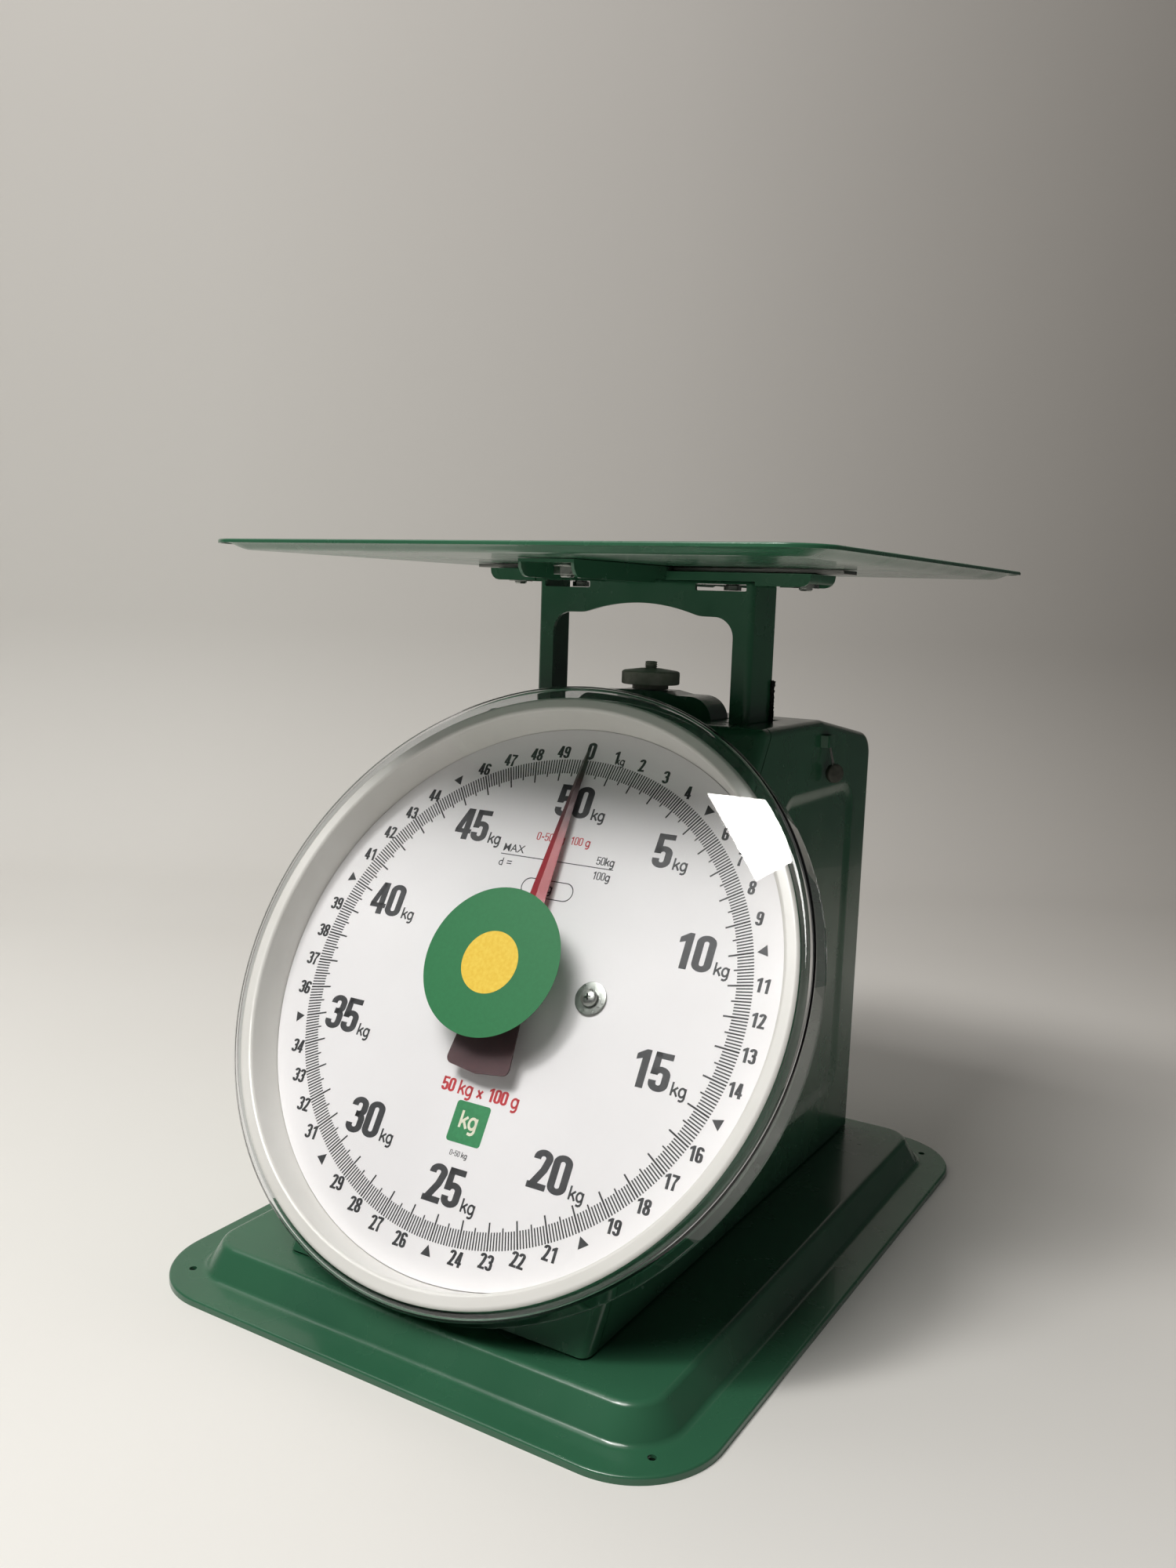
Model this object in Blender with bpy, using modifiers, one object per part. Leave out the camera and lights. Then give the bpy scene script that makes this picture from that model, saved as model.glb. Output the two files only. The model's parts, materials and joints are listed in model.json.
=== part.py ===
"""Mechanical platform scale with a leaning dial: every piece is one object, in metres, +Z up."""
import math

import bmesh
import bpy
from mathutils import Matrix, Vector

# General clearances
CLEARANCE = 0.0003
HOLE_CLEARANCE = 0.0003
SLIDE_CLEARANCE = 0.0015

# Base plate
BASE_WIDTH = 0.255
BASE_DEPTH = 0.334
BASE_CORNER_RADIUS = 0.036
BASE_LIP = 0.003
BASE_BORDER = 0.0147
BASE_RISE = 0.012
BASE_SLOPE_RUN = 0.0075
BASE_CREASE = 0.0016
BASE_SHEET = 0.0012
BASE_HOLE_DIAMETER = 0.0045
BASE_HOLE_INSET = 0.0174
BASE_TOP = BASE_LIP + BASE_RISE

# Dial face: lean from the vertical, centre and radius of the printed scale
DIAL_LEAN = math.radians(31.0)
DIAL_Y = -0.0762
DIAL_Z = 0.1284
SCALE_RADIUS = 0.104
DIAL_PLATE_THICKNESS = 0.0006
PANEL_SETBACK = 0.010

# Case
CASE_WIDTH = 0.146
CASE_TOP = 0.2355
CASE_TOP_REAR_Y = 0.069
CASE_REAR_Y = 0.1365
CASE_REAR_Z = 0.2245
CASE_SHEET = 0.001
CASE_BOTTOM = BASE_TOP + 0.0009
CASE_EDGE_RADIUS = 0.004
CASE_REAR_RADIUS = 0.012
CASE_SEAM_DEPTH = 0.0068
CASE_SEAM_GAP = 0.0004
LEG_SLOT_REAR = 0.008
CASE_PANEL_TOP = 0.031
CASE_PANEL_FRONT = 0.034
CASE_PANEL_REAR = 0.022
CASE_PANEL_BOTTOM = 0.026
CASE_PANEL_RADIUS = 0.012
CASE_PANEL_DEPTH = 0.002
CASE_PANEL_RUN = 0.004
SEAL_HOLE_DIAMETER = 0.0065
SEAL_HOLE_Y = 0.078
SEAL_HOLE_Z = 0.2105

# Bowl and clear cover, radii and heights above the dial face
BOWL_SHEET = 0.0012
BOWL_FLOOR_RADIUS = 0.1186
BOWL_RIM_RADIUS = 0.1212
BOWL_RIM_HEIGHT = 0.0156
BOWL_FLANGE_RADIUS = 0.1246
BOWL_BORE_RADIUS = 0.008
COVER_SHEET = 0.0016
COVER_HEIGHT = 0.0174
COVER_TOP_RADIUS = 0.1266
COVER_SKIRT_RADIUS = 0.1298
COVER_EDGE_RADIUS = 0.0022

# Dial screws
DIAL_SCREW_X = 0.0368
DIAL_SCREW_V = 0.0015
DIAL_SCREW_DIAMETER = 0.0036
DIAL_WASHER_DIAMETER = 0.0138
DIAL_POST_DIAMETER = 0.008

# Pointer
POINTER_HEIGHT = 0.0074
POINTER_SHEET = 0.0008
POINTER_BASE_HALF = 0.0021
POINTER_TIP_HALF = 0.0007
POINTER_POINT = 0.004
POINTER_TAIL_LENGTH = 0.039
POINTER_TAIL_ROOT = 0.009
POINTER_TAIL_ROOT_HALF = 0.0124
POINTER_TAIL_END_HALF = 0.0154
POINTER_TAIL_SAG = 0.002
POINTER_TAIL_CORNER = 0.003
POINTER_HUB_DIAMETER = 0.014

# Rack and pinion; one turn of the pointer is the full load
PINION_TEETH = 8
GEAR_MODULE = 0.0008
PINION_PITCH_RADIUS = PINION_TEETH * GEAR_MODULE / 2
RACK_TRAVEL = 2 * math.pi * PINION_PITCH_RADIUS
TRAVEL = RACK_TRAVEL / math.cos(DIAL_LEAN)
GEAR_ADDENDUM = 0.00062
GEAR_DEDENDUM = 0.00095
GEAR_TOOTH = 0.00082
RACK_OFFSET = PINION_PITCH_RADIUS + 0.00012
RACK_FACE = 0.006
RACK_BACK = 0.0046
RACK_W = -0.028
RACK_BELOW = 0.005
RACK_ABOVE = 0.030
PINION_FRONT_W = -0.022
PINION_BACK_W = -0.047
ARBOR_DIAMETER = 0.004
BRACKET_SHEET = 0.0015
BRACKET_HALF_WIDTH = 0.017
BRACKET_HALF_HEIGHT = 0.009
BRACKET_EAR = 0.014
BRACKET_BACK_W = -0.053

# Load axis shared by yoke, springs, knob and carrier
LOAD_Y = 0.031

# Yoke
YOKE_WIDTH = 0.112
YOKE_DEPTH = 0.025
YOKE_TOP = 0.2985
YOKE_BOTTOM = 0.054
YOKE_SHEET = 0.002
YOKE_LEG_FACE = 0.009
YOKE_EDGE_RADIUS = 0.003
ARCH_STEP_DROP = 0.0166
ARCH_PEAK_DROP = 0.0114
ARCH_CORNER_RADIUS = 0.0093
ARCH_HALF_WIDTH = 0.0297
YOKE_SLOT_EDGE = 0.0035
YOKE_SLOT_LENGTH = 0.025
YOKE_SLOT_HEIGHT = 0.003
YOKE_SLOT_BELOW_TOP = 0.0002

# Inner frame and its top above the case
FRAME_LEG_GAP = 0.0105
FRAME_PASS_GAP = 0.0015
FRAME_DEPTH = 0.018
FRAME_SHEET = 0.003
FRAME_TOP = 0.247
FRAME_BEND = 0.011
FRAME_SEAT_RISE = 0.0014
FRAME_SEAT_HALF = 0.011
FRAME_SEAT_SLOPE = 0.0075
FRAME_CHEEK_SHEET = 0.002
FRAME_CHEEK_INSET = 0.0002
FRAME_CHEEK_BELOW = 0.001
FRAME_FOOT = 0.018

# Springs, hanger and cross bar
SPRING_X = 0.019
SPRING_RADIUS = 0.008
SPRING_WIRE = 0.0032
SPRING_TURNS = 16
SPRING_STEPS = 8
HANGER_Z = 0.214
HANGER_DIAMETER = 0.006
HANGER_HALF = 0.027
HANGER_BLOCK = 0.012
CROSSBAR_Z = 0.062
CROSSBAR_DIAMETER = 0.008
CROSSBAR_NUT_FLATS = 0.013
CROSSBAR_NUT_HEIGHT = 0.005

# Zero adjusting knob
STUD_DIAMETER = 0.006
STUD_TOP = 0.2602
KNOB_DIAMETER = 0.0272
KNOB_NECK_DIAMETER = 0.017
KNOB_NECK = 0.0022
KNOB_RIM = 0.0062
KNOB_CONE = 0.0012

# Parallel levers
LEVER_LENGTH = 0.075
LEVER_SHEET = 0.0015
LEVER_HEIGHT = 0.010
LEVER_SIDE_GAP = 0.0028
LEVER_WEB_FRONT = 0.036
LEVER_WEB_REAR = 0.016
UPPER_LEVER_Z = 0.196
LOWER_LEVER_Z = 0.088
PIVOT_DIAMETER = 0.005
PILLAR_INSET = 0.008
PILLAR_SHEET = 0.002
PILLAR_DEPTH = 0.023

# Rack carrier and arm
CARRIER_THICKNESS = 0.0025
CARRIER_Z = 0.146
CARRIER_HEIGHT = 0.016
ARM_SHEET = 0.002
ARM_HEIGHT = 0.011
ARM_TAB = 0.015

# Pan and its carrier
PAN_SIZE = 0.278
PAN_Y = 0.0225
PAN_RISE = 0.0095
PAN_LIP = 0.0028
PAN_RIM = 0.0025
PAN_SLOPE_RUN = 0.011
PAN_SLOPE_STEPS = 3
PAN_DISH = 0.0029
PAN_SHEET = 0.0012
PAN_CORNER_RADIUS = 0.018
PAN_EDGE_RADIUS = 0.0013
CROSS_SHEET = 0.0014
CROSS_X_HALF_LENGTH = 0.083
CROSS_X_SIDE_GAP = 0.0005
CROSS_X_HEIGHT = 0.0056
CROSS_X_END_RADIUS = 0.0048
CROSS_NOTCH_GAP = 0.0012
CROSS_NOTCH_OVERLAP = 0.0007
CROSS_Y_HALF_LENGTH = 0.093
CROSS_Y_HALF_WIDTH = 0.0135
CROSS_Y_HEIGHT = 0.0074
CROSS_Y_END_RADIUS = 0.006
STRIP_THICKNESS = 0.0017
STRIP_WIDTH = 0.016
STRIP_HALF_LENGTH = 0.095
PAN_STUD_DIAMETER = 0.006
PAN_STUD_X = 0.075
PAN_STUD_Y = 0.076
NUT_FLATS = 0.010
NUT_HEIGHT = 0.0036
WASHER_DIAMETER = 0.012
WASHER_THICKNESS = 0.0006
PAN_STUD_END = 0.0012
SPACER_RADIUS = 0.006
BOLT_FLATS = 0.007
BOLT_HEAD = 0.0024

# Derived places shared by several pieces
DIAL_PLATE_RADIUS = BOWL_FLOOR_RADIUS
YOKE_FRONT_Y = LOAD_Y - YOKE_DEPTH / 2
YOKE_REAR_Y = LOAD_Y + YOKE_DEPTH / 2
YOKE_SLOT_OUTER = YOKE_WIDTH / 2 - YOKE_SLOT_EDGE
YOKE_SLOT_INNER = YOKE_SLOT_OUTER - YOKE_SLOT_LENGTH
YOKE_BOLT_X = (YOKE_SLOT_OUTER + YOKE_SLOT_INNER) / 2
ARCH_STEP_Z = YOKE_TOP - ARCH_STEP_DROP
ARCH_PEAK_Z = YOKE_TOP - ARCH_PEAK_DROP
FRAME_WIDTH = YOKE_WIDTH - 2 * (YOKE_LEG_FACE + FRAME_LEG_GAP)
LEVER_SWING = math.asin(TRAVEL / 2 / LEVER_LENGTH)
LEVER_PIVOT_Y = LOAD_Y + LEVER_LENGTH * math.cos(LEVER_SWING)
PAN_TOP = YOKE_TOP + PAN_RISE
PAN_UNDER = PAN_TOP - PAN_DISH - PAN_SHEET
CROSS_X_HALF_WIDTH = YOKE_DEPTH / 2 + CROSS_X_SIDE_GAP + CROSS_SHEET
CROSS_Y_TOP = PAN_UNDER - CLEARANCE
STRIP_BOTTOM = CROSS_Y_TOP - STRIP_THICKNESS
CROSS_X_TOP = STRIP_BOTTOM - CLEARANCE
LEVER_X = YOKE_WIDTH / 2 + LEVER_SIDE_GAP


def clear_scene():
    for item in list(bpy.data.objects):
        bpy.data.objects.remove(item, do_unlink=True)
    for group in list(bpy.data.collections):
        bpy.data.collections.remove(group)


clear_scene()
PARTS = bpy.data.collections.new("dial_platform_scale")
CUTTERS = bpy.data.collections.new("cutters")
bpy.context.scene.collection.children.link(PARTS)
bpy.context.scene.collection.children.link(CUTTERS)


def linear(channel):
    value = channel / 255
    if value <= 0.04045:
        return value / 12.92
    return ((value + 0.055) / 1.055) ** 2.4


def material(name, colour, roughness, metallic=0.0, alpha=1.0):
    result = bpy.data.materials.new(name)
    result.use_nodes = True
    shader = result.node_tree.nodes["Principled BSDF"]
    rgb = [linear(int(colour[i:i + 2], 16)) for i in (1, 3, 5)]
    shader.inputs["Base Color"].default_value = (*rgb, 1.0)
    shader.inputs["Roughness"].default_value = roughness
    shader.inputs["Metallic"].default_value = metallic
    shader.inputs["Alpha"].default_value = alpha
    result.diffuse_color = (*rgb, alpha)
    return result


GREEN = material("green_enamel", "#3F6B4F", 0.3)
WHITE = material("white_enamel", "#E6E6E2", 0.4)
CLEAR = material("clear_plastic", "#F4F6F6", 0.1, alpha=0.3)
RED = material("red_lacquer", "#A02028", 0.35)
ZINC = material("zinc_plate", "#B4B2AA", 0.35, metallic=1.0)
STEEL = material("steel", "#8C8C8A", 0.4, metallic=1.0)
BRASS = material("brass", "#B08D4A", 0.35, metallic=1.0)
DARK = material("dark_plating", "#4A4A42", 0.45, metallic=1.0)


def pivot(name, location, lean=0.0):
    empty = bpy.data.objects.new(name, None)
    empty.empty_display_size = 0.02
    empty.location = location
    empty.rotation_euler = (lean, 0.0, 0.0)
    PARTS.objects.link(empty)
    return empty


DIAL = pivot("dial_axis", (0.0, DIAL_Y, DIAL_Z), math.pi / 2 - DIAL_LEAN)
PLATFORM = pivot("load_axis", (0.0, LOAD_Y, 0.0))
ZERO = pivot("zero_axis", (0.0, LOAD_Y, 0.0))
UPPER = pivot("upper_lever_axis", (0.0, LEVER_PIVOT_Y, UPPER_LEVER_Z - TRAVEL / 2))
LOWER = pivot("lower_lever_axis", (0.0, LEVER_PIVOT_Y, LOWER_LEVER_Z - TRAVEL / 2))


def add(name, mesh, look, parent=None, smooth=35.0):
    part = bpy.data.objects.new(name, mesh)
    part.data.materials.append(look)
    PARTS.objects.link(part)
    part.parent = parent
    if mesh.polygons:
        mesh.shade_smooth()
        mesh.set_sharp_from_angle(angle=math.radians(smooth))
    return part


def cutter(name, mesh, parent=None):
    tool = bpy.data.objects.new(name, mesh)
    CUTTERS.objects.link(tool)
    tool.parent = parent
    tool.hide_render = True
    tool.display_type = "WIRE"
    return tool


def boolean(part, tool, operation="DIFFERENCE"):
    modifier = part.modifiers.new(tool.name, "BOOLEAN")
    modifier.operation = operation
    modifier.solver = "EXACT"
    modifier.object = tool


def thicken(part, thickness, offset=-1.0):
    modifier = part.modifiers.new("sheet", "SOLIDIFY")
    modifier.thickness = thickness
    modifier.offset = offset
    modifier.use_even_offset = True


def to_mesh(bm, name):
    bmesh.ops.recalc_face_normals(bm, faces=bm.faces)
    mesh = bpy.data.meshes.new(name)
    bm.to_mesh(mesh)
    bm.free()
    return mesh


def box_into(bm, low, high):
    size = Vector(high) - Vector(low)
    middle = (Vector(high) + Vector(low)) / 2
    matrix = Matrix.Translation(middle) @ Matrix.Diagonal((*size, 1.0))
    return bmesh.ops.create_cube(bm, size=1.0, matrix=matrix)["verts"]


def boxes(name, *spans):
    bm = bmesh.new()
    for low, high in spans:
        box_into(bm, low, high)
    return to_mesh(bm, name)


def axis_matrix(axis):
    if axis == "X":
        return Matrix.Rotation(math.pi / 2, 4, "Y")
    if axis == "Y":
        return Matrix.Rotation(-math.pi / 2, 4, "X")
    return Matrix.Identity(4)


def cylinder_into(bm, start, length, radius, axis="Z", segments=20):
    middle = Vector(start)
    middle["XYZ".index(axis)] += length / 2
    matrix = Matrix.Translation(middle) @ axis_matrix(axis)
    bmesh.ops.create_cone(bm, cap_ends=True, segments=segments, radius1=radius, radius2=radius,
                          depth=length, matrix=matrix)


def rods(name, spans, axis="Z", segments=20):
    bm = bmesh.new()
    for start, length, radius in spans:
        cylinder_into(bm, start, length, radius, axis, segments)
    return to_mesh(bm, name)


def prism(name, outline, thickness):
    """A flat outline in XY, filled and thickened evenly about its plane."""
    curve = bpy.data.curves.new(name, "CURVE")
    curve.dimensions = "2D"
    curve.fill_mode = "BOTH"
    curve.extrude = thickness / 2
    spline = curve.splines.new("POLY")
    spline.points.add(len(outline) - 1)
    for point, (x, y) in zip(spline.points, outline):
        point.co = (x, y, 0.0, 1.0)
    spline.use_cyclic_u = True
    holder = bpy.data.objects.new(name, curve)
    mesh = bpy.data.meshes.new_from_object(holder)
    bpy.data.objects.remove(holder)
    bpy.data.curves.remove(curve)
    bm = bmesh.new()
    bm.from_mesh(mesh)
    bpy.data.meshes.remove(mesh)
    bmesh.ops.remove_doubles(bm, verts=bm.verts, dist=1e-6)
    return to_mesh(bm, name)


def turned(name, profile, look, parent=None, steps=32, closed=False, location=(0, 0, 0)):
    """A profile of radius and height pairs, from the top down its outer side, turned about Z."""
    bm = bmesh.new()
    verts = [bm.verts.new((radius, 0.0, height)) for radius, height in profile]
    for first, second in zip(verts, verts[1:]):
        bm.edges.new((first, second))
    if closed:
        bm.edges.new((verts[-1], verts[0]))
    mesh = bpy.data.meshes.new(name)
    bm.to_mesh(mesh)
    bm.free()
    part = add(name, mesh, look, parent)
    part.location = location
    modifier = part.modifiers.new("turn", "SCREW")
    modifier.steps = steps
    modifier.render_steps = steps
    modifier.use_merge_vertices = True
    modifier.merge_threshold = 0.00001
    modifier.use_smooth_shade = True
    return part


def arc(centre, radius, start, end, steps):
    points = []
    for i in range(steps + 1):
        angle = math.radians(start + (end - start) * i / steps)
        points.append((centre[0] + radius * math.cos(angle), centre[1] + radius * math.sin(angle)))
    return points


def rounded_box_shell(low, high, corner, segments):
    """The sides and top of a box with round upright corners, open below."""
    bm = bmesh.new()
    box_into(bm, low, high)
    upright = [edge for edge in bm.edges if abs(edge.verts[0].co.z - edge.verts[1].co.z) > 1e-6]
    bmesh.ops.bevel(bm, geom=upright, offset=corner, segments=segments, profile=0.5, affect="EDGES")
    floor = [face for face in bm.faces if face.normal.z < -0.9]
    bmesh.ops.delete(bm, geom=floor, context="FACES")
    return bm


def top_face(bm):
    return max((face for face in bm.faces if face.normal.z > 0.9), key=lambda face: face.calc_area())


def loop_edges(bm, height):
    return [edge for edge in bm.edges
            if all(abs(vert.co.z - height) < 1e-6 for vert in edge.verts)
            and len(edge.link_faces) == 2 and edge.calc_face_angle(0.0) > 0.05]


def build_base():
    half = (BASE_WIDTH / 2, BASE_DEPTH / 2)
    bm = rounded_box_shell((-half[0], -half[1], 0.0), (half[0], half[1], BASE_LIP), BASE_CORNER_RADIUS, 5)
    crease_rise = BASE_CREASE * BASE_RISE / BASE_SLOPE_RUN / 3
    slope = BASE_SLOPE_RUN - BASE_CREASE * 2
    steps = ((BASE_BORDER, 0.0), (BASE_CREASE, crease_rise), (slope, BASE_RISE - crease_rise * 2),
             (BASE_CREASE, crease_rise))
    for run, rise in steps:
        plateau = top_face(bm)
        bmesh.ops.inset_individual(bm, faces=[plateau], thickness=run, use_even_offset=True)
        bmesh.ops.translate(bm, verts=plateau.verts, vec=(0.0, 0.0, rise))
        bm.normal_update()
    base = add("base_plate", to_mesh(bm, "base_plate"), GREEN)
    thicken(base, BASE_SHEET)
    hole_x = half[0] - BASE_HOLE_INSET
    hole_y = half[1] - BASE_HOLE_INSET
    spans = [((x, y, -0.01), 0.03, BASE_HOLE_DIAMETER / 2)
             for x in (-hole_x, hole_x) for y in (-hole_y, hole_y)]
    boolean(base, cutter("base_holes", rods("base_holes", spans, segments=14)))


def panel_y(height, setback):
    """Where the plane behind the dial face by the setback stands at a height."""
    rise = math.sin(DIAL_LEAN) * (height - DIAL_Z)
    return DIAL_Y + (rise + setback) / math.cos(DIAL_LEAN)


def case_surface():
    """The outer skin of the whole case, open below, before it is split at the seam."""
    half = CASE_WIDTH / 2
    side = [(panel_y(CASE_BOTTOM, PANEL_SETBACK), CASE_BOTTOM),
            (panel_y(CASE_TOP, PANEL_SETBACK), CASE_TOP),
            (CASE_TOP_REAR_Y, CASE_TOP),
            (CASE_REAR_Y, CASE_REAR_Z),
            (CASE_REAR_Y, CASE_BOTTOM)]
    bm = bmesh.new()
    face = bm.faces.new([bm.verts.new((-half, y, z)) for y, z in side])
    grown = bmesh.ops.extrude_face_region(bm, geom=[face])["geom"]
    moved = [item for item in grown if isinstance(item, bmesh.types.BMVert)]
    bmesh.ops.translate(bm, verts=moved, vec=(CASE_WIDTH, 0.0, 0.0))
    bmesh.ops.recalc_face_normals(bm, faces=bm.faces)
    rear = [edge for edge in bm.edges
            if all(abs(vert.co.y - CASE_REAR_Y) < 1e-6 and abs(vert.co.z - CASE_REAR_Z) < 1e-6
                   for vert in edge.verts)]
    bmesh.ops.bevel(bm, geom=rear, offset=CASE_REAR_RADIUS, segments=3, profile=0.5, affect="EDGES")
    rims = [edge for edge in bm.edges
            if abs(edge.verts[0].co.x - edge.verts[1].co.x) < 1e-6
            and max(vert.co.z for vert in edge.verts) > CASE_BOTTOM + 1e-6]
    rims += [edge for edge in bm.edges
             if abs(edge.verts[0].co.x - edge.verts[1].co.x) > half
             and edge.verts[0].co.z > CASE_TOP - 1e-6
             and edge.verts[0].co.y < CASE_TOP_REAR_Y / 2]
    bmesh.ops.bevel(bm, geom=rims, offset=CASE_EDGE_RADIUS, segments=2, profile=0.5, affect="EDGES")
    floor = [face for face in bm.faces if face.normal.z < -0.99]
    bmesh.ops.delete(bm, geom=floor, context="FACES")
    return bm


def split_at_seam(bm, setback, keep_front):
    normal = Vector((0.0, -math.cos(DIAL_LEAN), math.sin(DIAL_LEAN)))
    point = Vector((0.0, DIAL_Y, DIAL_Z)) - normal * setback
    everything = bm.verts[:] + bm.edges[:] + bm.faces[:]
    bmesh.ops.bisect_plane(bm, geom=everything, dist=1e-7, plane_co=point, plane_no=normal,
                           clear_inner=keep_front, clear_outer=not keep_front)
    bmesh.ops.dissolve_degenerate(bm, dist=1e-6, edges=bm.edges)


def leg_slots():
    outer = YOKE_WIDTH / 2 + SLIDE_CLEARANCE
    inner = YOKE_WIDTH / 2 - YOKE_LEG_FACE - SLIDE_CLEARANCE
    front = YOKE_FRONT_Y - SLIDE_CLEARANCE
    rear = YOKE_REAR_Y + LEG_SLOT_REAR
    low = CASE_TOP - 0.02
    high = CASE_TOP + 0.02
    frame = FRAME_WIDTH / 2 + FRAME_PASS_GAP
    frame_y = FRAME_DEPTH / 2 + FRAME_PASS_GAP
    return [((-outer, front, low), (-inner, rear, high)),
            ((inner, front, low), (outer, rear, high)),
            ((-frame, LOAD_Y - frame_y, low), (frame, LOAD_Y + frame_y, high))]


def rounded_polygon(corners, radius, steps):
    """A polygon with every corner replaced by an arc."""
    points = []
    count = len(corners)
    for i, corner in enumerate(corners):
        here = Vector(corner)
        back = (Vector(corners[i - 1]) - here).normalized()
        ahead = (Vector(corners[(i + 1) % count]) - here).normalized()
        half = back.angle(ahead) / 2
        centre = here + (back + ahead).normalized() * (radius / math.sin(half))
        start = here + back * (radius / math.tan(half)) - centre
        end = here + ahead * (radius / math.tan(half)) - centre
        for step in range(steps + 1):
            arm = start.lerp(end, step / steps).normalized() * radius
            points.append(tuple(centre + arm))
    return points


def side_panel_outline(inset):
    """The pressed panel in a side wall, as Y and Z pairs, moved in from its edge by the inset."""
    top = CASE_TOP - CASE_PANEL_TOP - inset
    bottom = CASE_BOTTOM + CASE_PANEL_BOTTOM + inset
    rear = CASE_REAR_Y - CASE_PANEL_REAR - inset
    setback = PANEL_SETBACK + CASE_SEAM_DEPTH + CASE_PANEL_FRONT + inset
    corners = [(panel_y(bottom, setback), bottom), (panel_y(top, setback), top)]
    corners += [(rear, top), (rear, bottom)]
    return rounded_polygon(corners, CASE_PANEL_RADIUS - inset, 3)


def press_side_panel(bm, sign):
    walls = [face for face in bm.faces if face.normal.x * sign > 0.99]
    wall = max(walls, key=lambda face: face.calc_area())
    border = list(wall.edges)
    x = sign * CASE_WIDTH / 2
    bmesh.ops.delete(bm, geom=[wall], context="FACES_ONLY")
    rings = []
    for inset, depth in ((0.0, 0.0), (CASE_PANEL_RUN, CASE_PANEL_DEPTH)):
        rings.append([bm.verts.new((x - sign * depth, y, z)) for y, z in side_panel_outline(inset)])
    count = len(rings[0])
    for i in range(count):
        after = (i + 1) % count
        bm.faces.new((rings[0][i], rings[0][after], rings[1][after], rings[1][i]))
    bm.faces.new(rings[1])
    edges = border + [bm.edges.get((rings[0][i], rings[0][(i + 1) % count])) for i in range(count)]
    bmesh.ops.triangle_fill(bm, edges=edges, use_beauty=True, normal=(sign, 0.0, 0.0))


def build_case():
    bm = case_surface()
    split_at_seam(bm, PANEL_SETBACK + CASE_SEAM_DEPTH + CASE_SEAM_GAP, False)
    for sign in (-1.0, 1.0):
        press_side_panel(bm, sign)
    case = add("case_shell", to_mesh(bm, "case_shell"), GREEN)
    thicken(case, CASE_SHEET)
    boolean(case, cutter("case_slots", boxes("case_slots", *leg_slots())))
    hole = rods("seal_hole", [((CASE_WIDTH / 2 - 0.01, SEAL_HOLE_Y, SEAL_HOLE_Z), 0.02,
                               SEAL_HOLE_DIAMETER / 2)], axis="X", segments=16)
    boolean(case, cutter("seal_hole", hole))


def screw_holes():
    spans = [((sign * DIAL_SCREW_X, DIAL_SCREW_V, -0.03), 0.04, DIAL_SCREW_DIAMETER / 2 + HOLE_CLEARANCE)
             for sign in (-1, 1)]
    return spans


def build_panel():
    bm = case_surface()
    split_at_seam(bm, PANEL_SETBACK + CASE_SEAM_DEPTH, True)
    panel = add("front_panel", to_mesh(bm, "front_panel"), GREEN)
    thicken(panel, CASE_SHEET)
    spans = screw_holes() + [((0.0, 0.0, -0.03), 0.04, BOWL_BORE_RADIUS)]
    boolean(panel, cutter("panel_holes", rods("panel_holes", spans, segments=20), DIAL))


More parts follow.
